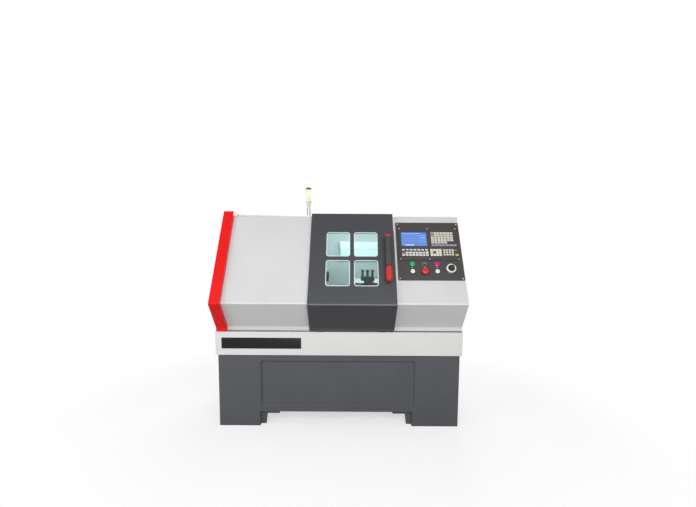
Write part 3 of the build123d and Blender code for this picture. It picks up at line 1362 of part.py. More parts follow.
def cnc_unit():
    """Control unit: front bezel on the plate, housing behind it, screen recess."""
    unit = slope_block(
        UNIT_LEFT, UNIT_RIGHT, UNIT_BOTTOM_S, UNIT_TOP_S, PLATE_THICKNESS, UNIT_FACE,
    )
    unit = chamfer(unit.edges().filter_by(SLOPE_OUT), UNIT_EDGE)
    unit += slope_block(
        UNIT_LEFT + UNIT_INSET, UNIT_RIGHT - UNIT_INSET, UNIT_BOTTOM_S + UNIT_INSET,
        UNIT_TOP_S - UNIT_INSET, -UNIT_DEPTH, PLATE_THICKNESS,
    )
    return unit - display(UNIT_FACE + 1)


def display(top):
    """Block on the bottom of the screen recess, up to a height."""
    return slope_block(
        SCREEN_LEFT, SCREEN_RIGHT, SCREEN_BOTTOM_S, SCREEN_BOTTOM_S + SCREEN_HEIGHT,
        UNIT_FACE - SCREEN_RECESS - SCREEN_THICKNESS, top,
    )


def key_field(bay, field, columns, rows, blanks=()):
    """Rows of raised keys that fill a field in one bay of the unit's face."""
    left_inset, right_inset, rise, height, gap = field
    left = bay[0] + left_inset
    pitch_x = (bay[1] - right_inset - left + gap) / columns
    pitch_s = (height + gap) / rows
    keys = []
    for row in range(rows):
        for column in range(columns):
            if (row, column) in blanks:
                continue
            x = left + column * pitch_x
            s = UNIT_BOTTOM_S + rise + row * pitch_s
            keys.append(slope_block(
                x, x + pitch_x - gap, s, s + pitch_s - gap, UNIT_FACE, UNIT_FACE + KEY_PROUD,
            ))
    return keys


def panel_keys():
    """Membrane keys of the control unit, under the screen and beside it."""
    under = (SCREEN_LEFT, SCREEN_RIGHT)
    beside = (SCREEN_RIGHT, UNIT_RIGHT)
    keys = key_field(under, SOFT_KEYS, 7, 1) + key_field(under, MODE_KEYS, 7, 2)
    keys += key_field(beside, SPEED_KEYS, 1, 2) + key_field(beside, PAGE_KEYS, 7, 1)
    keys += key_field(beside, LETTER_KEYS, 7, 5, LETTER_BLANKS)
    keys += key_field(beside, AXIS_KEYS, 4, 3) + key_field(beside, FEED_KEYS, 4, 3)
    keys += key_field(beside, CYCLE_KEY, 1, 1) + key_field(beside, RAPID_KEY, 1, 1)
    return Compound(children=keys)


def control_unit(x, s):
    """Bezel, barrel and contact block of one push button or switch."""
    face = PLATE_THICKNESS + BEZEL_HEIGHT
    unit = slope_rod(BEZEL_RADIUS, x, s, PLATE_THICKNESS, face)
    unit += slope_rod(BARREL_RADIUS, x, s, -BARREL_LENGTH, PLATE_THICKNESS)
    half = CONTACT_SIZE / 2
    unit += slope_block(
        x - half, x + half, s - half, s + half, -BARREL_LENGTH - CONTACT_LENGTH, -BARREL_LENGTH,
    )
    pocket = PLATE_THICKNESS - BUTTON_TRAVEL - POCKET_GAP
    return unit - slope_rod(BUTTON_RADIUS + RUNNING_CLEARANCE, x, s, pocket, face + 1)


def button_units():
    """Six switch bodies and the pulse generator behind the hand wheel."""
    units = [control_unit(x, s) for x, s in CONTROL_PLACES]
    place = (HANDWHEEL_X, HANDWHEEL_S)
    face = PLATE_THICKNESS + DIAL_HEIGHT
    dial = slope_rod(DIAL_RADIUS, *place, PLATE_THICKNESS, face)
    dial += slope_rod(DIAL_BODY_RADIUS, *place, -DIAL_BODY_LENGTH, PLATE_THICKNESS)
    dial -= slope_rod(
        SHAFT_RADIUS + RUNNING_CLEARANCE, *place, -SHAFT_LENGTH - POCKET_GAP, face + 1,
    )
    return Compound(children=units + [dial])


def push_button(x, s):
    """Button cap in its barrel."""
    cap = slope_rod(BUTTON_RADIUS, x, s, PLATE_THICKNESS, PLATE_THICKNESS + BUTTON_HEIGHT)
    return chamfer(cap.faces().sort_by(SLOPE_OUT)[-1].edges(), BUTTON_EDGE)


def estop_button():
    """Mushroom head on its stem."""
    x, s = CONTROL_PLACES[4]
    bottom = PLATE_THICKNESS + BEZEL_HEIGHT + ESTOP_LIFT
    head = slope_rod(ESTOP_RADIUS, x, s, bottom, bottom + ESTOP_HEIGHT)
    head = chamfer(head.faces().sort_by(SLOPE_OUT)[-1].edges(), ESTOP_EDGE)
    return head + slope_rod(BUTTON_RADIUS, x, s, PLATE_THICKNESS, bottom)


def selector_knob():
    """Two-position selector: round skirt with a raised finger grip."""
    x, s = CONTROL_PLACES[1]
    skirt = PLATE_THICKNESS + BEZEL_HEIGHT + SELECTOR_SKIRT
    knob = slope_rod(BUTTON_RADIUS, x, s, PLATE_THICKNESS, skirt)
    return knob + slope_block(
        x - SELECTOR_GRIP_WIDTH / 2, x + SELECTOR_GRIP_WIDTH / 2,
        s - SELECTOR_GRIP_LENGTH / 2, s + SELECTOR_GRIP_LENGTH / 2,
        skirt, PLATE_THICKNESS + SELECTOR_HEIGHT,
    )


def pulse_handwheel():
    """Dished hand wheel with a raised finger knob near its rim."""
    bottom = PLATE_THICKNESS + DIAL_HEIGHT + HANDWHEEL_LIFT
    top = bottom + HANDWHEEL_HEIGHT
    wheel = slope_rod(HANDWHEEL_RADIUS, HANDWHEEL_X, HANDWHEEL_S, bottom, top)
    wheel = chamfer(wheel.faces().sort_by(SLOPE_OUT)[-1].edges(), HANDWHEEL_EDGE)
    dish = top - HANDWHEEL_DISH
    wheel -= slope_rod(HANDWHEEL_RADIUS - HANDWHEEL_RIM, HANDWHEEL_X, HANDWHEEL_S, dish, top + 1)
    wheel += slope_rod(
        FINGER_RADIUS, HANDWHEEL_X + FINGER_X, HANDWHEEL_S + FINGER_S, dish, top + FINGER_HEIGHT,
    )
    return wheel + slope_rod(SHAFT_RADIUS, HANDWHEEL_X, HANDWHEEL_S, -SHAFT_LENGTH, bottom)


# Signal lamp
def lamp_pole():
    """Pole with its flange on the roof."""
    pole = rod_z(LAMP_FLANGE_RADIUS, ROOF_TOP, ROOF_TOP + LAMP_FLANGE_HEIGHT, LAMP_X, LAMP_Y)
    return pole + rod_z(LAMP_POLE_RADIUS, ROOF_TOP, LAMP_POLE_TOP, LAMP_X, LAMP_Y)


def lamp_fittings():
    """Tapered holder under the lens and the domed cap over it."""
    upright = (Align.CENTER, Align.CENTER, Align.MIN)
    holder = Cone(LAMP_NECK_RADIUS, LAMP_RADIUS, LAMP_HOLDER_HEIGHT, align=upright)
    holder = Pos(LAMP_X, LAMP_Y, LAMP_POLE_TOP) * holder
    cap = rod_z(LAMP_RADIUS, LAMP_LENS_TOP, LAMP_LENS_TOP + LAMP_CAP_HEIGHT, LAMP_X, LAMP_Y)
    cap = chamfer(cap.edges().filter_by(GeomType.CIRCLE).sort_by(Axis.Z)[-1], LAMP_CAP_EDGE)
    return Compound(children=[holder, cap])


def lamp_lens():
    """Clear tube between the holder and the cap."""
    radius = LAMP_RADIUS - LAMP_LENS_INSET
    tube = rod_z(radius, LAMP_HOLDER_TOP, LAMP_LENS_TOP, LAMP_X, LAMP_Y)
    bore = radius - LAMP_LENS_WALL
    return tube - rod_z(bore, LAMP_HOLDER_TOP - 1, LAMP_LENS_TOP + 1, LAMP_X, LAMP_Y)


def work_lamp():
    """Lamp head on the rear wall and the light tube beside it."""
    back = HOOD_REAR - SHEET
    front = back - WORK_LAMP_DEPTH
    bottom = ROOF_Z - WORK_LAMP_DROP
    top = bottom + WORK_LAMP_HEIGHT
    left = DOOR_LEFT + WORK_LAMP_SIDE
    head_right = left + WORK_LAMP_HEAD
    right = left + WORK_LAMP_LENGTH
    head = block(left, head_right, front, back, bottom, top)
    head = chamfer(head.edges().filter_by(Axis.X), WORK_LAMP_EDGE)
    tube = rod_x(
        WORK_LAMP_TUBE_RADIUS, head_right, right, (front + back) / 2, (bottom + top) / 2,
    )
    foot = block(right, right + WORK_LAMP_FOOT, front, back, bottom, top)
    return Compound(children=[head, tube, foot])


# Electrical cabinet
CABINET_LEFT = -CABINET_WIDTH / 2
CABINET_RIGHT = CABINET_WIDTH / 2
CABINET_BOTTOM = TRAY_TOP + CABINET_LIFT
CABINET_TOP = CABINET_BOTTOM + CABINET_HEIGHT
CABINET_DOOR_BACK = DEPTH / 2 - LATCH_PROUD
CABINET_MOUTH = CABINET_DOOR_BACK - CABINET_DOOR_THICKNESS
HINGE_X = CABINET_LEFT - HINGE_OFFSET
HINGE_Y = CABINET_MOUTH + CABINET_DOOR_THICKNESS / 2
SWITCH_Z = CABINET_BOTTOM + CABINET_HEIGHT / 2
SWITCH_Y = (HOOD_REAR + CABINET_MOUTH) / 2


def hinge_half(bottom, edge_inner, front, back):
    """Barrel and leaf of one hinge half beside the cabinet."""
    leaf = block(HINGE_X, edge_inner, front, back, bottom, bottom + HINGE_LENGTH / 2)
    return leaf + rod_z(HINGE_RADIUS, bottom, bottom + HINGE_LENGTH / 2, HINGE_X, HINGE_Y)


def cabinet_body():
    """Open-backed box with hinge halves, the switch plate and the cable gland."""
    body = block(
        CABINET_LEFT, CABINET_RIGHT, HOOD_REAR, CABINET_MOUTH, CABINET_BOTTOM, CABINET_TOP,
    )
    body -= block(
        CABINET_LEFT + SHEET, CABINET_RIGHT - SHEET, HOOD_REAR + SHEET, CABINET_MOUTH + 1,
        CABINET_BOTTOM + SHEET, CABINET_TOP - SHEET,
    )
    for bottom in (CABINET_BOTTOM + HINGE_INSET, CABINET_TOP - HINGE_INSET - HINGE_LENGTH):
        body += hinge_half(bottom, CABINET_LEFT, CABINET_MOUTH - HINGE_LEAF, HINGE_Y)
    half = SWITCH_SIZE / 2
    body += block(
        CABINET_RIGHT, CABINET_RIGHT + SWITCH_PLATE, SWITCH_Y - half, SWITCH_Y + half,
        SWITCH_Z - half, SWITCH_Z + half,
    )
    body -= rod_x(
        SHAFT_RADIUS + RUNNING_CLEARANCE, CABINET_RIGHT - 2 * SHEET,
        CABINET_RIGHT + SWITCH_PLATE + 1, SWITCH_Y, SWITCH_Z,
    )
    gland_x = CABINET_LEFT + GLAND_INSET
    bottom = CABINET_BOTTOM - GLAND_LENGTH
    body += rod_z(GLAND_RADIUS, bottom, CABINET_BOTTOM, gland_x, SWITCH_Y)
    return body - rod_z(GLAND_BORE, bottom - 1, CABINET_BOTTOM + SHEET + 1, gland_x, SWITCH_Y)


def cabinet_equipment():
    """Mounting plate with the drive units and a row of contactors."""
    back = HOOD_REAR + SHEET
    face = back + EQUIPMENT_PLATE
    plate = block(
        CABINET_LEFT + EQUIPMENT_MARGIN, CABINET_RIGHT - EQUIPMENT_MARGIN, back, face,
        CABINET_BOTTOM + EQUIPMENT_MARGIN, CABINET_TOP - EQUIPMENT_MARGIN,
    )
    left = CABINET_LEFT + 2 * EQUIPMENT_MARGIN
    top = CABINET_TOP - 2 * EQUIPMENT_MARGIN
    for number in range(3):
        x = left + number * DRIVE_PITCH
        plate += block(x, x + DRIVE_WIDTH, face - 1, face + DRIVE_DEPTH, top - DRIVE_HEIGHT, top)
    low = CABINET_BOTTOM + 3 * EQUIPMENT_MARGIN
    for number in range(CONTACTOR_COUNT):
        x = left + number * CONTACTOR_PITCH
        plate += block(
            x, x + CONTACTOR_SIZE, face - 1, face + CONTACTOR_HEIGHT, low, low + CONTACTOR_HEIGHT,
        )
    return plate


def cabinet_door():
    """Folded cabinet door with its own hinge halves."""
    door = block(
        CABINET_LEFT, CABINET_RIGHT, CABINET_MOUTH, CABINET_DOOR_BACK, CABINET_BOTTOM, CABINET_TOP,
    )
    door -= block(
        CABINET_LEFT + SHEET, CABINET_RIGHT - SHEET, CABINET_MOUTH - 1, CABINET_DOOR_BACK - SHEET,
        CABINET_BOTTOM + SHEET, CABINET_TOP - SHEET,
    )
    for bottom in (CABINET_BOTTOM + HINGE_INSET, CABINET_TOP - HINGE_INSET - HINGE_LENGTH):
        upper = bottom + HINGE_LENGTH / 2
        front = HINGE_Y - HINGE_LUG / 2
        door += hinge_half(upper, CABINET_LEFT + 1, front, front + HINGE_LUG)
    return door - rod_y(
        SHAFT_RADIUS + RUNNING_CLEARANCE, CABINET_DOOR_BACK - 2 * SHEET, CABINET_DOOR_BACK + 1,
        CABINET_RIGHT - LATCH_INSET, SWITCH_Z,
    )


def cabinet_latch():
    """Quarter-turn latch: knob outside, shaft through the door, cam inside."""
    x = CABINET_RIGHT - LATCH_INSET
    face = CABINET_DOOR_BACK
    cam_back = face - LATCH_SHAFT_LENGTH + 1
    knob = rod_y(LATCH_RADIUS, face, face + LATCH_DISC, x, SWITCH_Z)
    knob += block(
        x - LATCH_GRIP_WIDTH / 2, x + LATCH_GRIP_WIDTH / 2, face + LATCH_DISC - 1, DEPTH / 2,
        SWITCH_Z - LATCH_GRIP_LENGTH / 2, SWITCH_Z + LATCH_GRIP_LENGTH / 2,
    )
    knob += rod_y(SHAFT_RADIUS, cam_back - 1, face, x, SWITCH_Z)
    return knob + block(
        x - CAM_WIDTH / 2, x + CAM_REACH, cam_back - CAM_THICKNESS, cam_back,
        SWITCH_Z - CAM_WIDTH / 2, SWITCH_Z + CAM_WIDTH / 2,
    )


def switch_knob():
    """Main switch knob on the side of the cabinet."""
    face = CABINET_RIGHT + SWITCH_PLATE
    knob = rod_x(SWITCH_KNOB_RADIUS, face, face + SWITCH_DISC, SWITCH_Y, SWITCH_Z)
    knob += block(
        face + SWITCH_DISC - 1, face + SWITCH_KNOB_HEIGHT,
        SWITCH_Y - SWITCH_GRIP_WIDTH / 2, SWITCH_Y + SWITCH_GRIP_WIDTH / 2,
        SWITCH_Z - SWITCH_GRIP_LENGTH / 2, SWITCH_Z + SWITCH_GRIP_LENGTH / 2,
    )
    return knob + rod_x(SHAFT_RADIUS, CABINET_RIGHT - SHEET, face, SWITCH_Y, SWITCH_Z)


NODES = {
    "base_cabinet": base_cabinet(),
    "chip_tray": chip_tray(),
    "left_end_cover": left_end_cover(),
    "hood_left_panel": hood_left_panel(),
    "door_surround": door_surround(),
    "hood_right_panel": hood_right_panel(),
    "hood_roof": hood_roof(),
    "rear_panel": rear_panel(),
    "door_rails": door_rails(),
    "bed_casting": bed_casting(),
    "headstock": headstock(),
    "spindle_bearings": spindle_bearings(),
    "main_motor": main_motor(),
    "drive_belt": drive_belt(),
    "z_servo": z_servo(),
    "work_lamp": work_lamp(),
    "operator_plate": operator_plate(),
    "cnc_unit": cnc_unit(),
    "lcd_screen": display(UNIT_FACE - SCREEN_RECESS),
    "panel_keys": panel_keys(),
    "button_units": button_units(),
    "lamp_pole": lamp_pole(),
    "lamp_fittings": lamp_fittings(),
    "lamp_lens": lamp_lens(),
    "cabinet_body": cabinet_body(),
    "cabinet_equipment": cabinet_equipment(),
    "door_panel": door_panel(),
    "window_panes": window_panes(),
    "window_seals": window_seals(),
    "door_handle": door_handle(),
    "handle_grips": handle_grips(),
    "door_glides": door_glides(),
    "spindle": spindle(),
    "chuck_body": chuck_body(),
    "chuck_jaw_rear": chuck_jaw(0),
    "chuck_jaw_upper": chuck_jaw(1),
    "chuck_jaw_lower": chuck_jaw(2),
    "motor_pulley": motor_pulley(),
    "saddle": saddle(),
    "slide_cover": slide_cover(),
    "z_ballscrew": z_ballscrew(),
    "x_ballscrew": x_ballscrew(),
    "cross_slide": cross_slide(),
    "turret_head": turret_head(),
    "turret_screws": turret_screws(),
    "cutting_tool": cutting_tool(),
    "tailstock_body": tailstock_body(),
    "quill": quill(),
    "tail_handwheel": tail_handwheel(),
    "start_button": push_button(*CONTROL_PLACES[0]),
    "stop_button": push_button(*CONTROL_PLACES[2]),
    "white_button_left": push_button(*CONTROL_PLACES[3]),
    "white_button_right": push_button(*CONTROL_PLACES[5]),
    "estop_button": estop_button(),
    "selector_knob": selector_knob(),
    "pulse_handwheel": pulse_handwheel(),
    "cabinet_door": cabinet_door(),
    "cabinet_latch": cabinet_latch(),
    "switch_knob": switch_knob(),
}

os.makedirs("parts", exist_ok=True)
for name, shape in NODES.items():
    export_step(shape, f"parts/{name}.step")
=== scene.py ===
"""Dressed model of an enclosed flat-bed turning lathe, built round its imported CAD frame."""
import json
import logging
import math
from dataclasses import dataclass, replace
from enum import Enum
from typing import Any, Callable, Iterable, Sequence

import bmesh
import bpy
from mathutils import Matrix, Vector

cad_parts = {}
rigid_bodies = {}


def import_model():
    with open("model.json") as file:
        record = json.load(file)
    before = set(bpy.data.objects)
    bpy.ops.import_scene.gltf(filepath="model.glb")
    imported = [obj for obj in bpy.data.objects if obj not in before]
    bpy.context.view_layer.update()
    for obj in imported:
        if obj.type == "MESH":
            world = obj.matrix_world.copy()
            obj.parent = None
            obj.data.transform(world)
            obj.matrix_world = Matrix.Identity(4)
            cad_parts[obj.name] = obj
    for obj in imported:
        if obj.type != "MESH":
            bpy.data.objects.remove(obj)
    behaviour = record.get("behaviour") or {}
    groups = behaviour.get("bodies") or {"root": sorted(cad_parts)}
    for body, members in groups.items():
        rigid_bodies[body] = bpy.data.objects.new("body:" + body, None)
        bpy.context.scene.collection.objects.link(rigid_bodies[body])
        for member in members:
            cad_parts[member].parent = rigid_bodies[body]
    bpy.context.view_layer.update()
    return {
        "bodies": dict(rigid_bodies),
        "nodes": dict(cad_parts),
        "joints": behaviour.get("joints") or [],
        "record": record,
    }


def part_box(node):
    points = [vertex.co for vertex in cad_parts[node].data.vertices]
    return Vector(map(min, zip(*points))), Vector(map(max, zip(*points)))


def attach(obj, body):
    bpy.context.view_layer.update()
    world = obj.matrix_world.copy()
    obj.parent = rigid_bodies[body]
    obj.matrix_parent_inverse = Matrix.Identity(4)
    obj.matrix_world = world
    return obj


LOG = logging.getLogger("lathe")
MM = 0.001
SHARP = math.radians(35)
WHITE = (1.0, 1.0, 1.0, 1.0)
NOISE_MIDDLE = (0.3, 0.7)
Point2 = tuple[float, float]
Tree = bpy.types.NodeTree
Node = bpy.types.Node
Socket = bpy.types.NodeSocket
Object = bpy.types.Object
Mesh = bpy.types.Mesh


# Node trees
def feed(tree: Tree, node: Node, inputs: dict[Any, Any]) -> None:
    """Set or link a node's inputs.

    Args:
        tree: Tree of the node.
        node: The node.
        inputs: Constant or socket for each input, by the input's name or number.
    """
    for key, value in inputs.items():
        if isinstance(value, Socket):
            tree.links.new(value, node.inputs[key])
        else:
            node.inputs[key].default_value = value


def add_node(tree: Tree, kind: str, inputs: dict[Any, Any] | None = None, **settings: Any) -> Node:
    """Add a node with its settings and inputs.

    Args:
        tree: Tree that takes the node.
        kind: Blender's type name of the node.
        inputs: What its inputs take, as in feed.
        settings: Properties of the node itself.

    Returns:
        The new node.
    """
    node = tree.nodes.new(kind)
    for key, value in settings.items():
        setattr(node, key, value)
    feed(tree, node, inputs or {})
    return node


def work_out(tree: Tree, operation: str, *terms: Any, vector: bool = False) -> Node:
    """Add a maths node for numbers or vectors, with a socket or constant for each term."""
    kind = "ShaderNodeVectorMath" if vector else "ShaderNodeMath"
    return add_node(tree, kind, dict(enumerate(terms)), operation=operation)


def new_nodes(holder: Any) -> Tree:
    """Give a new material or world an empty node tree and return that.

    Args:
        holder: The material or world.

    Returns:
        Its tree, without nodes.
    """
    holder.use_nodes = True
    holder.node_tree.nodes.clear()
    return holder.node_tree


def linear(colour: str) -> tuple[float, float, float, float]:
    """Turn an sRGB hex colour into linear RGBA.

    Args:
        colour: Text such as "#DCDCDA".

    Returns:
        Red, green, blue and an alpha of one.
    """
    shares = [int(colour[place:place + 2], 16) / 255 for place in (1, 3, 5)]
    red, green, blue = (
        share / 12.92 if share <= 0.04045 else ((share + 0.055) / 1.055) ** 2.4 for share in shares
    )
    return red, green, blue, 1.0


def object_place(tree: Tree) -> Socket:
    """Return the socket with the place in the part's own frame, in metres."""
    return add_node(tree, "ShaderNodeTexCoord").outputs["Object"]


def off_axis(tree: Tree, centre: Point2) -> tuple[Socket, Socket]:
    """Measure the place from an axis along X.

    Args:
        tree: Material tree.
        centre: Y and Z of the axis in metres.

    Returns:
        The sockets with the place as seen from the axis and with the distance from it.
    """
    moved = work_out(tree, "SUBTRACT", object_place(tree), (0.0, *centre), vector=True).outputs[0]
    flat = work_out(tree, "MULTIPLY", moved, (0.0, 1.0, 1.0), vector=True).outputs[0]
    return moved, work_out(tree, "LENGTH", flat, vector=True).outputs["Value"]


def grain(
    tree: Tree, size: float, stretch: Sequence[float] = (1.0, 1.0, 1.0), detail: float = 2.0,
) -> Socket:
    """Make noise whose blotches have a real size.

    Args:
        tree: Material tree.
        size: Width of a blotch in millimetres.
        stretch: How many times longer the blotches are along X, Y and Z.
        detail: Octaves of finer noise.

    Returns:
        The socket with the noise, from 0 to 1.
    """
    scale = [1 / (size * MM * share) for share in stretch]
    placed = add_node(tree, "ShaderNodeMapping", {"Scale": scale, "Vector": object_place(tree)})
    values = {"Scale": 1.0, "Detail": detail, "Vector": placed.outputs["Vector"]}
    return add_node(tree, "ShaderNodeTexNoise", values).outputs["Fac"]


def spread(tree: Tree, pattern: Socket, low: float, high: float) -> Socket:
    """Map the middle of a noise pattern to a range of values.

    Args:
        tree: Material tree.
        pattern: Socket with the noise.
        low: Value where the noise is low.
        high: Value where the noise is high.

    Returns:
        The socket with the mapped value.
    """
    values = dict(zip(("From Min", "From Max", "To Min", "To Max"), (*NOISE_MIDDLE, low, high)))
    return add_node(tree, "ShaderNodeMapRange", values | {"Value": pattern}).outputs["Result"]


def fade(tree: Tree, distance: Socket, ends: Point2, levels: Point2) -> Socket:
    """Pass smoothly from one value to another over a distance.

    Args:
        tree: Tree of a material.
        distance: Socket with the distance.
        ends: Distances at which the passage starts and ends.
        levels: Values before and after it.

    Returns:
        The socket with the value.
    """
    values = dict(zip(("From Min", "From Max", "To Min", "To Max"), (*ends, *levels)))
    return add_node(
        tree, "ShaderNodeMapRange", values | {"Value": distance}, interpolation_type="SMOOTHSTEP",
    ).outputs["Result"]


def blend(tree: Tree, factor: Socket, first: Socket | str, second: Socket | str) -> Socket:
    """Mix two colours by a factor.

    Args:
        tree: Material tree.
        factor: Socket that is 0 for the first colour and 1 for the second.
        first: Colour socket or sRGB hex.
        second: Colour socket or sRGB hex.

    Returns:
        The socket with the mixed colour.
    """
    first, second = (
        linear(colour) if isinstance(colour, str) else colour for colour in (first, second)
    )
    inputs = {0: factor, 6: first, 7: second}
    return add_node(tree, "ShaderNodeMix", inputs, data_type="RGBA").outputs[2]


def relief(tree: Tree, height: Socket, depth: float) -> Socket:
    """Return the normal of a surface that a pattern bumps by a depth in millimetres."""
    inputs = {"Distance": depth * MM, "Height": height}
    return add_node(tree, "ShaderNodeBump", inputs).outputs["Normal"]


# Finishes
@dataclass(frozen=True)
class Finish:
    """A real material with its surface treatment.

    Attributes:
        name: Common name of the material.
        colour: Its main colour as sRGB hex.
        roughness: Roughness of its surface.
    """

    name: str
    colour: str
    roughness: float

    def material(self) -> bpy.types.Material:
        """Return the material, made the first time it is asked for."""
        made = bpy.data.materials.get(self.name)
        if made is None:
            made = bpy.data.materials.new(self.name)
            tree = new_nodes(made)
            plain = {"Base Color": linear(self.colour), "Roughness": self.roughness}
            shader = add_node(tree, "ShaderNodeBsdfPrincipled", plain)
            feed(tree, shader, self.inputs(tree))
            add_node(tree, "ShaderNodeOutputMaterial", {"Surface": shader.outputs["BSDF"]})
        return made

    def inputs(self, tree: Tree) -> dict[str, Any]:
        """Return what the shader takes beyond a plain colour and gloss."""
        return {}

    def gloss(self, tree: Tree, pattern: Socket, swing: float) -> Socket:
        """Return the socket with a roughness that a pattern swings both ways."""
        return spread(tree, pattern, self.roughness - swing, self.roughness + swing)


@dataclass(frozen=True)
class PowderCoat(Finish):
    """Sheet steel with a baked powder coat.

    It reads as an even satin colour with a slight orange peel and faint clouds of tone.

    Attributes:
        cloud: Second tone of the clouds as sRGB hex.
        peel: Width of an orange-peel dimple in millimetres, wider than the real
            2 mm so that it shows at the size of the render.
        peel_depth: Depth of a dimple in millimetres.
        fold: Y and Z in metres of the line where the sheet is folded, along which a highlight is
            painted, or None.
        highlight_reach: Distance from that line over which the painted highlight fades out, in
            millimetres.
        highlight_share: How far the painted highlight takes the coat towards white on the line.
        crest: Share of the reach where the painted highlight is palest.
        cloud_size: Width of a cloud of tone in millimetres.
        gloss_size: Width of a patch of even gloss in millimetres.
        swing: How far the roughness swings from patch to patch.
    """

    cloud: str
    peel: float = 7.0
    peel_depth: float = 0.004
    fold: Point2 | None = None
    highlight_reach: float = 9.0
    highlight_share: float = 0.6
    crest: float = 0.3
    cloud_size: float = 260.0
    gloss_size: float = 90.0
    swing: float = 0.03

    def inputs(self, tree: Tree) -> dict[str, Any]:
        """Return the clouds, the uneven gloss and the orange peel.

        On a folded sheet a highlight is painted along the fold: the colour is paled towards white
        near the fold line.
        """
        clouds = spread(tree, grain(tree, self.cloud_size), 0.0, 1.0)
        colour = blend(tree, clouds, self.colour, self.cloud)
        # Painted highlight: the colour is paled towards white along the fold line
        if self.fold:
            _, distance = off_axis(tree, self.fold)
            reach = self.highlight_reach * MM
            share = fade(tree, distance, (self.crest * reach, reach), (self.highlight_share, 0.0))
            colour = blend(tree, share, colour, "#FFFFFF")
        return {
            "Base Color": colour,
            "Roughness": self.gloss(tree, grain(tree, self.gloss_size), self.swing),
            "Normal": relief(tree, grain(tree, self.peel, detail=0.0), self.peel_depth),
        }


@dataclass(frozen=True)
class PaintedCasting(Finish):
    """Iron casting with thick machine enamel.

    The sand of the mould shows through the paint as a coarse, shallow pebble.

    Attributes:
        shade: Tone in the hollows as sRGB hex.
        sand: Width of a grain in millimetres.
        depth: Depth of the pebble in millimetres.
    """

    shade: str
    sand: float = 5.0
    depth: float = 0.25

    def inputs(self, tree: Tree) -> dict[str, Any]:
        """Return the pebble of the casting and its uneven tone."""
        pebble = grain(tree, self.sand, detail=3.0)
        tone = spread(tree, pebble, 0.0, 1.0)
        return {
            "Base Color": blend(tree, tone, self.shade, self.colour),
            "Normal": relief(tree, pebble, self.depth),
        }


class Lay(Enum):
    """Direction in which a ground surface was worked, as its noise stretch."""

    ALONG_X = (60.0, 1.0, 1.0)
    ALONG_Y = (1.0, 60.0, 1.0)


@dataclass(frozen=True)
class GroundMetal(Finish):
    """Bare metal with the fine lines of grinding or brushing.

    The lines run one way and spread the highlight across themselves.

    Attributes:
        lay: Direction of the lines.
        line: Width of a line in millimetres.
        swing: How far the roughness swings from line to line.
        depth: Depth of a line in millimetres.
    """

    lay: Lay = Lay.ALONG_X
    line: float = 1.2
    swing: float = 0.08
    depth: float = 0.02

    def inputs(self, tree: Tree) -> dict[str, Any]:
        """Return the metal's body and its grinding lines."""
        lines = grain(tree, self.line, self.lay.value, 3.0)
        return {
            "Metallic": 1.0,
            "Roughness": self.gloss(tree, lines, self.swing),
            "Normal": relief(tree, lines, self.depth),
        }


@dataclass(frozen=True)
class TurnedMetal(Finish):
    """Metal turned about an axis along X.

    Fine rings follow the tool, so a disc face shows a fan of light.

    Attributes:
        centre: Y and Z of the axis in metres.
        pitch: Distance between rings in millimetres, wider than the real feed
            of 0.2 mm so that it shows.
        swing: How far the roughness swings from ring to ring.
        depth: Depth of a ring in millimetres.
    """

    centre: Point2 = (0.0, 0.0)
    pitch: float = 2.0
    swing: float = 0.08
    depth: float = 0.03

    def inputs(self, tree: Tree) -> dict[str, Any]:
        """Return the metal's body and the rings of the turning tool."""
        moved, radius = off_axis(tree, self.centre)
        split = add_node(tree, "ShaderNodeSeparateXYZ", {0: moved})
        reach = work_out(tree, "ADD", radius, split.outputs["X"]).outputs[0]
        values = {"Scale": 1 / (self.pitch * MM), "Detail": 2.0, "W": reach}
        rings = add_node(tree, "ShaderNodeTexNoise", values, noise_dimensions="1D").outputs["Fac"]
        return {
            "Metallic": 1.0,
            "Roughness": self.gloss(tree, rings, self.swing),
            "Normal": relief(tree, rings, self.depth),
        }


@dataclass(frozen=True)
class BlackOxide(Finish):
    """Hardened steel with a black oxide skin.

    It is nearly black, oily, and shows a little bare steel in cloudy patches.

    Attributes:
        bare: Colour of the bare steel as sRGB hex.
        patch: Width of a patch in millimetres.
        share: How far a patch goes towards bare steel.
        swing: How far the roughness swings from patch to patch.
        metal: Share of the skin that reflects as metal.
    """

    bare: str = "#6B6A68"
    patch: float = 14.0
    share: float = 0.35
    swing: float = 0.1
    metal: float = 0.6

    def inputs(self, tree: Tree) -> dict[str, Any]:
        """Return the metal's body, its cloudy tone and its cloudy gloss."""
        patches = grain(tree, self.patch, detail=4.0)
        worn = spread(tree, patches, 0.0, self.share)
        return {
            "Metallic": self.metal,
            "Base Color": blend(tree, worn, self.colour, self.bare),
            "Roughness": self.gloss(tree, patches, self.swing),
        }


@dataclass(frozen=True)
class Chrome(Finish):
    """Bright plate on steel, a clear mirror with faint smears.

    Attributes:
        smear_size: Width of a smear in millimetres.
        smear: How far a smear adds to the roughness.
    """

    smear_size: float = 30.0
    smear: float = 0.06

    def inputs(self, tree: Tree) -> dict[str, Any]:
        """Return the metal's body and the smears."""
        rough = self.roughness + self.smear
        smears = spread(tree, grain(tree, self.smear_size), self.roughness, rough)
        return {"Metallic": 1.0, "Roughness": smears}


@dataclass(frozen=True)
class Moulded(Finish):
    """Moulded plastic with the fine spark texture of its mould.

    Attributes:
        texture: Width of a spark mark in millimetres.
        depth: Depth of the texture in millimetres.
        swing: How far the roughness swings from mark to mark.
    """

    texture: float = 1.2
    depth: float = 0.03
    swing: float = 0.05

    def inputs(self, tree: Tree) -> dict[str, Any]:
        """Return the spark texture and a slightly uneven gloss."""
        marks = grain(tree, self.texture, detail=1.0)
        return {
            "Roughness": self.gloss(tree, marks, self.swing),
            "Normal": relief(tree, marks, self.depth),
        }


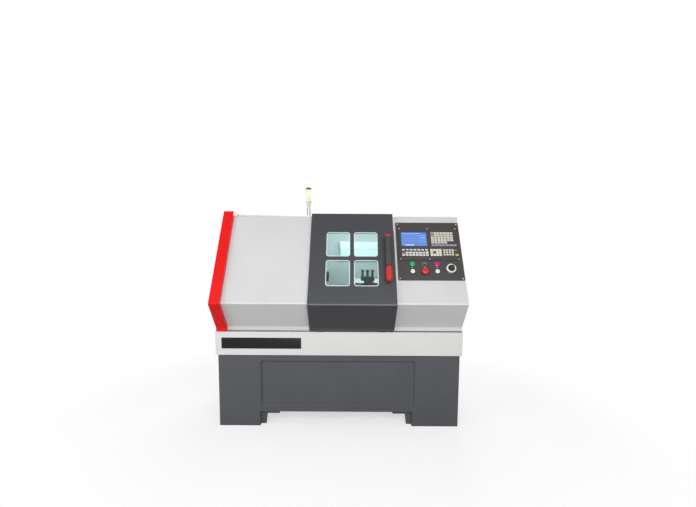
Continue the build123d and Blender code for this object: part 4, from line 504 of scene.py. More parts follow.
@dataclass(frozen=True)
class TwoShot(Moulded):
    """Part in two colours that meet on a plane.

    Attributes:
        upper: Colour beyond the split as sRGB hex.
        split: Place of the split along its axis in metres.
        axis: Axis that the split lies across.
    """

    upper: str = "#000000"
    split: float = 0.0
    axis: str = "Z"

    def inputs(self, tree: Tree) -> dict[str, Any]:
        """Return the two colours over the texture of the plain moulding."""
        place = add_node(tree, "ShaderNodeSeparateXYZ", {0: object_place(tree)})
        above = work_out(tree, "GREATER_THAN", place.outputs[self.axis], self.split).outputs[0]
        return super().inputs(tree) | {"Base Color": blend(tree, above, self.colour, self.upper)}


@dataclass(frozen=True)
class Glow(Finish):
    """Lit plastic: a diffuser or a screen that gives off its own colour.

    Attributes:
        strength: Brightness, where 1 shows the colour as written.
        patch: Width of a dimmer patch in millimetres.
        dim: Share of the brightness that a patch keeps.
    """

    strength: float = 1.0
    patch: float = 40.0
    dim: float = 0.94

    def inputs(self, tree: Tree) -> dict[str, Any]:
        """Return the light and the faint unevenness of the diffuser."""
        patches = grain(tree, self.patch)
        level = spread(tree, patches, self.strength * self.dim, self.strength)
        return {"Emission Color": linear(self.colour), "Emission Strength": level}


@dataclass(frozen=True)
class ClearSheet(Finish):
    """Clear or tinted polycarbonate, glossy, that shows what is behind it.

    Attributes:
        ior: Index of refraction.
        wave_size: Width of a wave in millimetres.
        wave: How far a wave adds to the roughness.
    """

    ior: float = 1.58
    wave_size: float = 60.0
    wave: float = 0.02

    def inputs(self, tree: Tree) -> dict[str, Any]:
        """Let light through, with a hair of waviness in the gloss."""
        rough = self.roughness + self.wave
        waves = spread(tree, grain(tree, self.wave_size), self.roughness, rough)
        return {"Transmission Weight": 1.0, "IOR": self.ior, "Roughness": waves}


def key_foil(name: str, colour: str) -> Moulded:
    """Return the smooth finish of a printed key foil."""
    return Moulded(name, colour, 0.45, 0.8, 0.01)


def acrylic(name: str, colour: str) -> Moulded:
    """Return the glossy finish of a moulded lens that isn't lit."""
    return Moulded(name, colour, 0.2, 2.0, 0.005)


BASE_COAT = PowderCoat("powder_coat_dark_grey", "#5B5D61", 0.36, "#57595D")
TRAY_COAT = PowderCoat("powder_coat_light_grey_tray", "#E8E8E6", 0.36, "#E4E4E2")
HOOD_COAT = PowderCoat("powder_coat_light_grey_hood", "#DADBDA", 0.32, "#D6D7D6")
RED_COAT = PowderCoat("powder_coat_signal_red", "#F20204", 0.3, "#EA0204")
DOOR_COAT = PowderCoat("powder_coat_graphite", "#494A4E", 0.34, "#46474B")
WHITE_ENAMEL = PowderCoat("white_enamel", "#F0F1EE", 0.35, "#EAEBE8")
HANDLE_COAT = PowderCoat("painted_steel_handle", "#4A4A48", 0.5, "#444442", 4.0)
YELLOW_COAT = PowderCoat("yellow_enamel", "#E2B81C", 0.4, "#DCB218", 4.0)
SILVER_PAINT = PowderCoat("silver_paint", "#E9E9E7", 0.3, "#E2E2E0", 4.0)
PANEL_PLATE = PowderCoat("powder_coat_black_panel", "#484543", 0.45, "#454240", 3.0)
CASTING = PaintedCasting("machine_enamel_on_cast_iron", "#7C8785", 0.5, "#6E7977")
MOTOR_PAINT = PaintedCasting("motor_enamel_on_cast_iron", "#54636D", 0.45, "#485660")
WAY_STEEL = GroundMetal("ground_steel", "#B9BBBD", 0.3)
SHANK_STEEL = GroundMetal("ground_tool_steel", "#8F9193", 0.35, Lay.ALONG_Y)
ALUMINIUM = GroundMetal("anodised_aluminium", "#DDDFE1", 0.3, Lay.ALONG_X, 0.8)
OXIDE = BlackOxide("black_oxide_steel", "#232323", 0.38)
CHROME = Chrome("chrome_plate", "#D9DBDE", 0.08)
NICKEL = Chrome("nickel_plated_steel", "#F4F4F2", 0.35)
ZINC = Chrome("zinc_plated_steel", "#A6A8AA", 0.22)
BLACK_PLASTIC = Moulded("black_abs", "#262423", 0.45)
LABEL_BLACK = Moulded("black_anodised_label", "#1C1B1B", 0.35)
UNIT_PLASTIC = Moulded("control_unit_abs", "#464341", 0.5)
KEY_PLASTIC = key_foil("key_polyester", "#E9E4D6")
KEY_WHITE = key_foil("white_key_polyester", "#F1F1EF")
KEY_BLUE = key_foil("blue_grey_key_polyester", "#8C96B8")
KEY_RED = key_foil("red_key_polyester", "#C23A34")
KEY_GREEN = key_foil("green_key_polyester", "#2F8A4E")
KEY_YELLOW = key_foil("yellow_key_polyester", "#E0C83C")
LEGEND_INK = Moulded("grey_legend_ink", "#77736B", 0.5, 0.6, 0.005)
MARK_INK = Moulded("white_marking_ink", "#D8D8D4", 0.5, 0.6, 0.005)
RED_PLASTIC = Moulded("red_polypropylene", "#CE3230", 0.35, 2.0, 0.02)
GREEN_PLASTIC = acrylic("green_acrylic", "#08C070")
MAGENTA_PLASTIC = acrylic("magenta_acrylic", "#E8128A")
WHITE_PLASTIC = acrylic("white_acrylic", "#F0F0EE")
RUBBER = Moulded("black_rubber", "#1B1B1B", 0.7, 2.0, 0.05)
SEAL_RUBBER = Moulded("light_silicone_rubber", "#E4EFEC", 0.5, 2.0, 0.03)
SCREEN_GLASS = Glow("lcd_blue", "#5B7CC0", 0.15, 0.45)
SCREEN_DARK = Glow("lcd_dark_blue", "#2C4688", 0.15, 0.4)
SCREEN_PALE = Glow("lcd_pale_blue", "#86A2DC", 0.15, 0.45)
SCREEN_WHITE = Glow("lcd_white", "#D8E0F0", 0.15, 0.35)
LAMP_GLOW = Glow("led_pale_yellow", "#F4F3B4", 0.3, 0.35)
TUBE_GLOW = Glow("work_lamp_diffuser", "#E6F0EE", 0.3, 0.35)
CLEAR_LENS = ClearSheet("clear_polycarbonate", "#FDFEFA", 0.02)
PANE = ClearSheet("tinted_polycarbonate", "#C6EAE9", 0.015)


# Meshes
def rounded_outline(width: float, height: float, radius: float, steps: int = 5) -> list[Point2]:
    """Make the outline of a rounded rectangle about the origin.

    Args:
        width: Size along the first axis in metres.
        height: Size along the second axis in metres.
        radius: Corner radius in metres.
        steps: Straight runs in each corner.

    Returns:
        Points in counter-clockwise order.
    """
    points = []
    for quarter, (side, end) in enumerate(((1, 1), (-1, 1), (-1, -1), (1, -1))):
        centre = (side * (width / 2 - radius), end * (height / 2 - radius))
        for step in range(steps + 1):
            angle = math.radians(90 * (quarter + step / steps))
            across, up = radius * math.cos(angle), radius * math.sin(angle)
            points.append((centre[0] + across, centre[1] + up))
    return points


class Form:
    """Collects the solids of one piece and hands them over as a finished mesh."""

    def __init__(self) -> None:
        """Start with no solids."""
        self.mesh = bmesh.new()

    def prism(
        self, outline: Sequence[Point2], low: float, high: float, place: Matrix = Matrix(),
        bevel: float = 0.0,
    ) -> None:
        """Add a prism.

        Args:
            outline: Counter-clockwise points across the local Z axis, in metres.
            low: Local height of its foot.
            high: Local height of its top.
            place: Matrix that puts it in the frame.
            bevel: Width of the bevel on every sharp edge.
        """
        foot = [self.mesh.verts.new(place @ Vector((x, y, low))) for x, y in outline]
        top = [self.mesh.verts.new(place @ Vector((x, y, high))) for x, y in outline]
        faces = [self.mesh.faces.new(top), self.mesh.faces.new(foot[::-1])]
        for number, lower in enumerate(foot):
            after = (number + 1) % len(foot)
            faces.append(self.mesh.faces.new((lower, foot[after], top[after], top[number])))
        if bevel:
            for face in faces:
                face.normal_update()
            edges = {edge for face in faces for edge in face.edges}
            sharp = [edge for edge in edges if edge.calc_face_angle(0.0) > SHARP]
            bmesh.ops.bevel(
                self.mesh, geom=sharp, offset=bevel, segments=2, profile=0.5, affect="EDGES",
            )

    def block(
        self, low: Vector, high: Vector, place: Matrix = Matrix(), bevel: float = 0.0,
    ) -> None:
        """Add a box between two local corners, with bevelled edges."""
        outline = ((low.x, low.y), (high.x, low.y), (high.x, high.y), (low.x, high.y))
        self.prism(outline, low.z, high.z, place, bevel)

    def turned(self, profile: Sequence[Point2], place: Matrix = Matrix(), steps: int = 32) -> None:
        """Add a solid of revolution.

        Args:
            profile: Radius and local height of each corner, from the foot up, in metres.
            place: Matrix that puts it in the frame.
            steps: Flats round the axis.
        """
        rings = []
        for radius, height in profile:
            count = steps if radius > 0 else 1
            turns = [2 * math.pi * step / steps for step in range(count)]
            rings.append([
                self.mesh.verts.new(
                    place @ Vector((radius * math.cos(turn), radius * math.sin(turn), height)),
                )
                for turn in turns
            ])
        for lower, upper in zip(rings, rings[1:]):
            for step in range(steps):
                corners = [lower[step % len(lower)], lower[(step + 1) % len(lower)]]
                corners += [upper[(step + 1) % len(upper)], upper[step % len(upper)]]
                self.mesh.faces.new(list(dict.fromkeys(corners)))
        if len(rings[0]) > 1:
            self.mesh.faces.new(rings[0][::-1])
        if len(rings[-1]) > 1:
            self.mesh.faces.new(rings[-1])

    def data(self, name: str) -> Mesh:
        """Close the form and return its mesh with outward normals.

        Args:
            name: Name of the mesh.

        Returns:
            The mesh, smooth apart from edges sharper than 35 degrees.
        """
        bmesh.ops.recalc_face_normals(self.mesh, faces=self.mesh.faces)
        made = bpy.data.meshes.new(name)
        self.mesh.to_mesh(made)
        self.mesh.free()
        made.shade_smooth()
        made.set_sharp_from_angle(angle=SHARP)
        return made

    def piece(self, name: str, finish: Finish, body: str = "machine") -> Object:
        """Close the form as a piece with a finish that rides on a CAD body."""
        return add_piece(name, self.data(name), finish, body)


def add_piece(name: str, mesh: Mesh, finish: Finish, body: str) -> Object:
    """Put a mesh in the scene as a piece of the lathe.

    Args:
        name: Name of the piece.
        mesh: Its mesh, already in place.
        finish: Its finish.
        body: CAD body that carries it.

    Returns:
        The new object.
    """
    mesh.materials.clear()
    mesh.materials.append(finish.material())
    piece = bpy.data.objects.new(name, mesh)
    bpy.context.scene.collection.objects.link(piece)
    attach(piece, body)
    LOG.info("%s: %d faces on %s", name, len(mesh.polygons), body)
    return piece


# Geometry Nodes
def new_tree(name: str, inputs: Iterable[tuple[str, str]]) -> Tree:
    """Start a geometry tree with a geometry socket at each end and named inputs.

    Args:
        name: Name of the tree.
        inputs: Name and socket type of each further input.

    Returns:
        The tree, without nodes.
    """
    tree = bpy.data.node_groups.new(name, "GeometryNodeTree")
    tree.interface.new_socket("Geometry", in_out="INPUT", socket_type="NodeSocketGeometry")
    tree.interface.new_socket("Geometry", in_out="OUTPUT", socket_type="NodeSocketGeometry")
    for label, kind in inputs:
        tree.interface.new_socket(label, in_out="INPUT", socket_type=kind)
    return tree


def close_tree(tree: Tree, start: Node, geometry: Socket) -> None:
    """End a tree in Realize Instances and Set Material.

    Args:
        tree: Geometry tree.
        start: Its group input node, which has a Finish input.
        geometry: Socket with the finished geometry.
    """
    real = add_node(tree, "GeometryNodeRealizeInstances", {0: geometry})
    inputs = {"Geometry": real.outputs[0], "Material": start.outputs["Finish"]}
    dressed = add_node(tree, "GeometryNodeSetMaterial", inputs)
    add_node(tree, "NodeGroupOutput", {0: dressed.outputs[0]})


def grown_mesh(name: str, tree: Tree, seed: Mesh, values: dict[str, Any]) -> Mesh:
    """Run a geometry tree on a mesh and keep the result as a plain mesh.

    Args:
        name: Name of the new mesh.
        tree: Geometry tree.
        seed: Mesh that the tree starts from.
        values: Value of each named input.

    Returns:
        The evaluated mesh.
    """
    holder = bpy.data.objects.new(name + "_seed", seed)
    bpy.context.scene.collection.objects.link(holder)
    modifier = holder.modifiers.new("growth", "NODES")
    modifier.node_group = tree
    for item in tree.interface.items_tree:
        if item.item_type == "SOCKET" and item.in_out == "INPUT" and item.name in values:
            modifier[item.identifier] = values[item.name]
    grown = holder.evaluated_get(bpy.context.evaluated_depsgraph_get())
    mesh = bpy.data.meshes.new_from_object(grown)
    mesh.name = name
    holder.modifiers.remove(modifier)
    bpy.data.objects.remove(holder)
    return mesh


class Copies:
    """Geometry tree that sets a template on every point, turned as the point says."""

    def __init__(self) -> None:
        """Build the tree once."""
        tree = new_tree("copies_on_points", (
            ("Template", "NodeSocketObject"), ("Finish", "NodeSocketMaterial"),
        ))
        start = add_node(tree, "NodeGroupInput")
        template = add_node(tree, "GeometryNodeObjectInfo", {"Object": start.outputs["Template"]})
        turn = add_node(
            tree, "GeometryNodeInputNamedAttribute", {"Name": "turn"}, data_type="FLOAT_VECTOR",
        )
        points = add_node(tree, "GeometryNodeInstanceOnPoints", {
            "Points": start.outputs["Geometry"], "Instance": template.outputs["Geometry"],
            "Rotation": turn.outputs["Attribute"],
        })
        close_tree(tree, start, points.outputs["Instances"])
        self.tree = tree

    def place(
        self, name: str, template: Mesh, frames: Sequence[Matrix], finish: Finish,
        body: str = "machine",
    ) -> Object:
        """Set copies of a template and join them in one piece.

        Args:
            name: Name of the piece.
            template: Mesh of one copy, standing on its local Z axis.
            frames: Matrix from the template to the place of each copy.
            finish: Finish of the piece.
            body: CAD body that carries it.

        Returns:
            The new object.
        """
        seed = bpy.data.meshes.new(name + "_points")
        seed.from_pydata([frame.translation for frame in frames], [], [])
        seed.attributes.new("turn", "FLOAT_VECTOR", "POINT")
        for row, frame in zip(seed.attributes["turn"].data, frames):
            row.vector = frame.to_euler()
        sample = bpy.data.objects.new(name + "_template", template)
        mesh = grown_mesh(name, self.tree, seed, {"Template": sample, "Finish": finish.material()})
        bpy.data.objects.remove(sample)
        mesh.shade_smooth()
        mesh.set_sharp_from_angle(angle=SHARP)
        return add_piece(name, mesh, finish, body)


def spots(frame: Matrix, places: Iterable[Sequence[float]]) -> list[Matrix]:
    """Return the matrices of places on one surface, given in its own axes in metres."""
    return [frame @ Matrix.Translation(place) for place in places]


def ring(
    frame: Matrix, radius: float, count: int, start: float = 0.0, sweep: float = 360.0,
) -> list[Matrix]:
    """Spread copies evenly round the local Z axis, each with its X pointing outwards.

    Args:
        frame: Matrix of the surface.
        radius: Radius of the ring in metres.
        count: Number of copies.
        start: Angle of the first copy in degrees.
        sweep: Angle that the copies share in degrees.

    Returns:
        The matrix of each copy.
    """
    share = sweep / count if sweep == 360.0 else sweep / (count - 1)
    turns = [math.radians(start + share * number) for number in range(count)]
    return [
        frame @ Matrix.Rotation(turn, 4, "Z") @ Matrix.Translation((radius, 0.0, 0.0))
        for turn in turns
    ]


class Thread:
    """Geometry tree that winds a raised thread round an axis along X."""

    def __init__(self) -> None:
        """Build the tree once."""
        sizes = [(name, "NodeSocketFloat") for name in ("Pitch", "Turns", "Radius", "Land")]
        tree = new_tree("screw_thread", (*sizes, ("Finish", "NodeSocketMaterial")))
        start = add_node(tree, "NodeGroupInput")
        given = start.outputs
        height = work_out(tree, "MULTIPLY", given["Pitch"], given["Turns"])
        helix = add_node(tree, "GeometryNodeCurveSpiral", {
            "Resolution": 20, "Rotations": given["Turns"], "Start Radius": given["Radius"],
            "End Radius": given["Radius"], "Height": height.outputs[0],
        })
        section = add_node(tree, "GeometryNodeCurvePrimitiveCircle", {
            "Resolution": 4, "Radius": given["Land"],
        })
        swept = add_node(tree, "GeometryNodeCurveToMesh", {
            "Fill Caps": True, "Curve": helix.outputs[0], "Profile Curve": section.outputs[0],
        })
        close_tree(tree, start, swept.outputs[0])
        self.tree = tree

    def wind(
        self, name: str, pitch: float, turns: float, radius: float, land: float,
        place: Matrix, finish: Finish, body: str,
    ) -> Object:
        """Wind a thread and put it on its screw.

        Args:
            name: Name of the piece.
            pitch: Distance between turns in metres.
            turns: Number of turns.
            radius: Radius of the screw in metres.
            land: Half width of the thread's crest in metres.
            place: Matrix from the local Z axis to the screw's axis.
            finish: Finish of the piece.
            body: CAD body that carries it.

        Returns:
            The new object.
        """
        seed = bpy.data.meshes.new(name + "_start")
        mesh = grown_mesh(name, self.tree, seed, {
            "Pitch": pitch, "Turns": turns, "Radius": radius, "Land": land,
            "Finish": finish.material(),
        })
        mesh.transform(place)
        return add_piece(name, mesh, finish, body)


# Places
@dataclass(frozen=True)
class Face:
    """A flat side of a sheet in the YZ plane, as the line normal . point = reach."""

    normal: Vector
    reach: float

    def meet(self, other: "Face", proud: float = 0.0) -> Vector:
        """Return Y and Z of the place where two sides cross, both moved out by a distance."""
        sides = Matrix((self.normal, other.normal))
        return sides.inverted() @ Vector((self.reach + proud, other.reach + proud))


def largest_face(node: Object, fits: Callable[[Vector], bool]) -> Face:
    """Find the largest flat side of a node that faces a given way.

    Args:
        node: CAD node.
        fits: Test of a face normal.

    Returns:
        The side, seen along X.
    """
    sides: dict[tuple[float, float, float], float] = {}
    for face in node.data.polygons:
        normal = face.normal
        if abs(normal.x) < 0.01 and fits(normal):
            reach = normal.dot(face.center)
            key = (round(normal.y, 3), round(normal.z, 3), round(reach, 4))
            sides[key] = sides.get(key, 0.0) + face.area
    y, z, reach = max(sides, key=sides.get)
    return Face(Vector((y, z)).normalized(), reach)


class HoodFront:
    """The hood's folded front: ledge, under slant and slope, read from its left sheet."""

    def __init__(self, sheet: Object) -> None:
        """Read the three sides.

        Args:
            sheet: CAD node of the left front sheet.
        """
        self.ledge = largest_face(sheet, lambda normal: normal.y < -0.99)
        self.under = largest_face(sheet, lambda normal: normal.y < -0.3 and normal.z < -0.3)
        self.slope = largest_face(sheet, lambda normal: normal.y < -0.3 and normal.z > 0.3)
        bend = self.under.meet(self.slope)
        self.bend = Vector((0.0, bend.x, bend.y))
        self.out = Vector((0.0, *self.slope.normal))
        self.run = self.out.cross(Vector((1.0, 0.0, 0.0)))

    def frame(self) -> Matrix:
        """Return the matrix from (x, s up the slope, height off it) to the frame."""
        rotation = Matrix(((1.0, 0.0, 0.0), self.run, self.out)).transposed()
        return Matrix.Translation(self.bend) @ rotation.to_4x4()

    def path(self, proud: float, low: float, high: float) -> list[Point2]:
        """Follow the front at a height off the sheet.

        Args:
            proud: Height off the sheet in metres.
            low: Z of the lower end.
            high: Distance up the slope of the upper end.

        Returns:
            Y and Z of the corners, from the lower end up.
        """
        foot = self.ledge.meet(self.under, proud)
        bend = self.under.meet(self.slope, proud)
        run = Vector((self.run.y, self.run.z))
        top = bend + run * (high - (bend - Vector((self.bend.y, self.bend.z))).dot(run))
        return [(foot.x, low), tuple(foot), tuple(bend), tuple(top)]

    def band(
        self, form: Form, left: float, right: float, inner: list[Point2], outer: list[Point2],
    ) -> None:
        """Add a strip between two paths, drawn along X from left to right."""
        form.prism(inner + outer[::-1], left, right, facing_right(0.0))


def facing_front(y: float) -> Matrix:
    """Return the matrix from (x, z, height towards the operator) to the frame."""
    return Matrix(((1, 0, 0, 0), (0, 0, -1, y), (0, 1, 0, 0), (0, 0, 0, 1)))


def facing_back(y: float) -> Matrix:
    """Return the matrix from (-x, z, height towards the back) to the frame."""
    return Matrix(((-1, 0, 0, 0), (0, 0, 1, y), (0, 1, 0, 0), (0, 0, 0, 1)))


def facing_right(x: float) -> Matrix:
    """Return the matrix from (y, z, height towards the right) to the frame."""
    return Matrix(((0, 0, 1, x), (1, 0, 0, 0), (0, 1, 0, 0), (0, 0, 0, 1)))


def facing_left(x: float) -> Matrix:
    """Return the matrix from (-y, z, height towards the left) to the frame."""
    return Matrix(((0, 0, -1, x), (-1, 0, 0, 0), (0, 1, 0, 0), (0, 0, 0, 1)))


def corners_of(points: Iterable[Vector]) -> tuple[Vector, Vector]:
    """Return the lower and upper corners of the box round some points."""
    rows = list(zip(*points))
    return Vector([min(row) for row in rows]), Vector([max(row) for row in rows])


def local_box(node: Object, frame: Matrix) -> tuple[Vector, Vector]:
    """Return the corners of a node's box in a surface's own axes."""
    turned = frame.inverted()
    return corners_of(turned @ vertex.co for vertex in node.data.vertices)


def solid_boxes(node: Object, frame: Matrix) -> list[tuple[Vector, Vector]]:
    """Find the boxes of a node's separate solids in a surface's own axes.

    Args:
        node: CAD node.
        frame: Matrix of the surface.

    Returns:
        The corners of each box, row by row.
    """
    turned = frame.inverted()
    mesh = bmesh.new()
    mesh.from_mesh(node.data)
    bmesh.ops.remove_doubles(mesh, verts=mesh.verts, dist=0.01 * MM)
    left = set(mesh.verts)
    boxes = []
    while left:
        reached = [left.pop()]
        for vertex in reached:
            near = {edge.other_vert(vertex) for edge in vertex.link_edges} & left
            left -= near
            reached += near
        boxes.append(corners_of(turned @ vertex.co for vertex in reached))
    mesh.free()
    return sorted(boxes, key=lambda box: (round(box[0].y, 4), round(box[0].x, 4)))


def spaced(low: float, high: float, pitch: float) -> list[float]:
    """Return even places from one end to the other, about a pitch apart."""
    count = max(1, round((high - low) / pitch))
    return [low + (high - low) * number / count for number in range(count + 1)]


class Head(Enum):
    """Screw heads: radius and height of each corner as shares, and the flats round them."""

    DOME = (((1.0, 0.0), (1.0, 0.35), (0.8, 0.8), (0.45, 1.0), (0.38, 0.4), (0.0, 0.4)), 12)
    CAP = (((1.0, 0.0), (1.0, 0.9), (0.9, 1.0), (0.5, 1.0), (0.45, 0.4), (0.0, 0.4)), 18)

    def mesh(self, radius: float, height: float) -> Mesh:
        """Make the head on its local Z axis.

        Args:
            radius: Radius of the head in millimetres.
            height: Height of the head in millimetres.

        Returns:
            The mesh of the head.
        """
        shares, steps = self.value
        form = Form()
        form.turned(scaled(shares, radius * MM, height * MM), steps=steps)
        return form.data(self.name.lower() + "_head")


def scaled(shares: Iterable[Point2], radius: float, height: float) -> list[Point2]:
    """Return a profile given as shares of a radius and a height."""
    return [(radius * across, height * up) for across, up in shares]


def tile(width: float, height: float, thickness: float) -> Mesh:
    """Make a thin bar with softened corners, centred on its local Z axis.

    Args:
        width: Size along X in metres.
        height: Size along Y in metres.
        thickness: Size along Z in metres.

    Returns:
        The mesh of the bar.
    """
    form = Form()
    form.prism(rounded_outline(width, height, 0.2 * thickness, 3), 0.0, thickness)
    return form.data("tile")


@dataclass
class Lathe:
    """What every sub-assembly needs: the CAD nodes, the hood's front and the copier."""

    nodes: dict[str, Object]
    front: HoodFront
    copies: Copies
    thread: Thread

    def dress(self, finishes: dict[Finish, str]) -> None:
        """Give CAD nodes their finishes.

        Args:
            finishes: For each finish the names of its nodes, with spaces between them.
        """
        for finish, names in finishes.items():
            for name in names.split():
                for slot in self.nodes[name].material_slots:
                    slot.material = finish.material()
                LOG.info("%s: %s", name, finish.name)


# Sub-assemblies
@dataclass
class Pedestal:
    """Floor cabinet, chip tray and the bare plate on its fascia, in millimetres."""

    lathe: Lathe
    plate_left: float = -817.0
    plate_right: float = -263.0
    plate_low: float = 562.0
    plate_high: float = 639.0
    plate_thickness: float = 2.0
    plate_corner: float = 2.5
    plate_bevel: float = 0.4

    def build(self) -> None:
        """Dress the cabinet and the tray and add the plate."""
        self.lathe.dress({BASE_COAT: "base_cabinet", TRAY_COAT: "chip_tray"})
        low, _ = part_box("chip_tray")
        width = (self.plate_right - self.plate_left) * MM
        height = (self.plate_high - self.plate_low) * MM
        centre = Vector((
            (self.plate_left + self.plate_right) / 2, (self.plate_low + self.plate_high) / 2, 0.0,
        )) * MM
        form = Form()
        form.prism(
            rounded_outline(width, height, self.plate_corner * MM, 3), 0.0,
            self.plate_thickness * MM, facing_front(low.y) @ Matrix.Translation(centre),
            self.plate_bevel * MM,
        )
        form.piece("nameplate_blank", LABEL_BLACK)


@dataclass
class Hood:
    """Sheet-metal enclosure with its screws, lamp diffuser and strips of painted highlight and
    shade, in millimetres.
    """

    lathe: Lathe
    # White strip beside the door that paints the highlight on the sheet's edge
    highlight_strip_width: float = 4.0
    highlight_strip_height: float = 4.0
    highlight_strip_gap: float = 2.0
    screw_radius: float = 5.0
    screw_height: float = 2.6
    screw_inset: float = 16.0
    screw_pitch: float = 200.0
    # Black strip along the seam with the tray that paints the seam's shade
    shade_strip_proud: float = 1.5
    shade_strip_height: float = 6.0
    diffuser_inset: float = 6.0
    # How far the glowing diffuser reaches below the lamp, as painted light
    painted_glow_drop: float = 75.0
    diffuser_proud: float = 2.0
    diffuser_bevel: float = 0.5
    strip_proud: float = 3.5
    strip_height: float = 4.0
    strip_bevel: float = 0.3

    def build(self) -> None:
        """Dress the sheets with a highlight painted along the bend, and add the painted highlight
        and shade strips, the screws and the diffuser.
        """
        bend = self.lathe.front.bend
        # The front sheets' coat has a highlight painted along the bend
        folded = replace(HOOD_COAT, name="powder_coat_folded_hood", fold=(bend.y, bend.z))
        self.lathe.dress({
            folded: "hood_left_panel door_surround hood_right_panel",
            HOOD_COAT: "hood_roof rear_panel", RED_COAT: "left_end_cover", ZINC: "door_rails",
            WHITE_ENAMEL: "work_lamp",
        })
        self.add_highlight_strip()
        self.add_seam_shade_strip()
        self.add_screws()
        self.add_diffuser()

    def add_seam_shade_strip(self) -> None:
        """Add the black strip along the joint of the front sheets with the tray, which paints the
        shade in the seam.
        """
        form = Form()
        face = -self.lathe.front.ledge.reach
        for name in ("hood_left_panel", "hood_right_panel"):
            low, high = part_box(name)
            form.block(
                Vector((low.x, face - self.shade_strip_proud * MM, low.z)),
                Vector((high.x, face, low.z + self.shade_strip_height * MM)),
            )
        form.piece("hood_joint_seal", RUBBER)

    def add_highlight_strip(self) -> None:
        """Add the white strip on the right sheet beside the door, which paints the highlight on the
        sheet's edge.
        """
        front = self.lathe.front
        low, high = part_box("hood_right_panel")
        _, door_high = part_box("door_panel")
        left = door_high.x + self.highlight_strip_gap * MM
        top = (high.z - front.bend.z) / front.run.z - self.highlight_strip_height * MM
        inner, outer = (front.path(proud * MM, low.z, top) for proud in (0.0, self.highlight_strip_height))
        form = Form()
        front.band(form, left, left + self.highlight_strip_width * MM, inner, outer)
        form.piece("right_sheet_trim", WHITE_ENAMEL)

    def add_screws(self) -> None:
        """Add the screws round the rear sheet and along the roof."""
        inset, pitch = self.screw_inset * MM, self.screw_pitch * MM
        low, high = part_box("rear_panel")
        across = spaced(low.x + inset, high.x - inset, pitch)
        upright = spaced(low.z + inset, high.z - inset, pitch)
        edge = [(-x, z, 0.0) for x in across for z in (upright[0], upright[-1])]
        edge += [(-x, z, 0.0) for x in (across[0], across[-1]) for z in upright[1:-1]]
        back = spots(facing_back(high.y), edge)
        low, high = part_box("hood_roof")
        edge = [(x, high.y - inset, high.z) for x in spaced(low.x + inset, high.x - inset, pitch)]
        for name, frames in (("rear_sheet_screws", back), ("roof_screws", spots(Matrix(), edge))):
            head = Head.DOME.mesh(self.screw_radius, self.screw_height)
            self.lathe.copies.place(name, head, frames, ZINC)

    def add_diffuser(self) -> None:
        """Add the lit diffuser of the work lamp and its strip; the diffuser reaches below the lamp,
        down in front of the wall, and there its glow is painted light.
        """
        low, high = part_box("work_lamp")
        # The glowing diffuser is carried below the lamp's body: this part is painted light under
        # the lamp
        low.z -= self.painted_glow_drop * MM
        inset = self.diffuser_inset * MM
        centre = (low + high) / 2
        outline = rounded_outline(high.x - low.x - 2 * inset, high.z - low.z - 2 * inset, inset)
        form = Form()
        form.prism(
            outline, 0.0, self.diffuser_proud * MM,
            facing_front(low.y) @ Matrix.Translation((centre.x, centre.z, 0.0)),
            self.diffuser_bevel * MM,
        )
        form.piece("work_lamp_diffuser", TUBE_GLOW)
        strip = Form()
        strip.block(
            Vector((low.x + inset, low.y - self.strip_proud * MM, centre.z)),
            Vector((high.x - inset, low.y, centre.z + self.strip_height * MM)), Matrix(),
            self.strip_bevel * MM,
        )
        strip.piece("diffuser_strip", ALUMINIUM)


@dataclass
class SlidingDoor:
    """Windowed door with its edge seal, in millimetres."""

    lathe: Lathe
    seal_width: float = 2.0
    seal_inner: float = 4.0
    seal_outer: float = 25.5
    seal_gap: float = 3.0
    # Share towards white of the highlight painted along the door's bend
    highlight_share: float = 0.12

    def build(self) -> None:
        """Dress the door, with a highlight painted along its bend, and add its edge seal."""
        front = self.lathe.front
        bend = HoodFront(self.lathe.nodes["door_panel"]).bend
        # The door's coat has a highlight painted along its bend
        folded = replace(
            DOOR_COAT, name="powder_coat_folded_door", fold=(bend.y, bend.z),
            highlight_share=self.highlight_share,
        )
        self.lathe.dress({
            folded: "door_panel", PANE: "window_panes", SEAL_RUBBER: "window_seals",
            HANDLE_COAT: "door_handle", RED_PLASTIC: "handle_grips", BLACK_PLASTIC: "door_glides",
        })
        _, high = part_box("door_panel")
        _, top = local_box(self.lathe.nodes["window_seals"], front.frame())
        rails = solid_boxes(self.lathe.nodes["door_rails"], Matrix())
        foot = min(rail.z for _, rail in rails) + self.seal_gap * MM
        inner, outer = (
            front.path(proud * MM, foot, top.y) for proud in (self.seal_inner, self.seal_outer)
        )
        form = Form()
        front.band(form, high.x, high.x + self.seal_width * MM, inner, outer)
        form.piece("door_edge_seal", RUBBER, "door")


@dataclass(frozen=True)
class KeyZone:
    """Keys of one colour, as a field measured from the unit's lower left corner in mm.

    Attributes:
        name: Name of the piece.
        finish: Finish of the caps.
        left: Left end of the field.
        right: Right end of the field.
        low: Lower end of the field.
        high: Upper end of the field.
        legend: Ink of the legend on each cap, or None for a plain cap.
    """

    name: str
    finish: Finish
    left: float
    right: float
    low: float
    high: float
    legend: Finish | None = None


KEY_ZONES = (
    KeyZone("soft_key_caps", KEY_WHITE, 0.0, 205.0, 70.0, 95.0, LEGEND_INK),
    KeyZone("mode_key_caps", KEY_WHITE, 36.0, 205.0, 30.0, 70.0, LEGEND_INK),
    KeyZone("stop_key_caps", KEY_RED, 0.0, 36.0, 48.0, 70.0),
    KeyZone("axis_key_centre", UNIT_PLASTIC, 236.0, 258.0, 48.0, 68.0),
    KeyZone("page_key_caps", KEY_BLUE, 225.0, 420.0, 108.0, 130.0, MARK_INK),
    KeyZone("shift_key_caps", KEY_BLUE, 225.0, 252.0, 190.0, 240.0),
    KeyZone("letter_key_caps", KEY_PLASTIC, 225.0, 420.0, 130.0, 240.0, LEGEND_INK),
    KeyZone("cycle_key_cap", KEY_GREEN, 384.0, 420.0, 70.0, 95.0),
    KeyZone("rapid_key_cap", KEY_YELLOW, 384.0, 420.0, 30.0, 56.0),
)

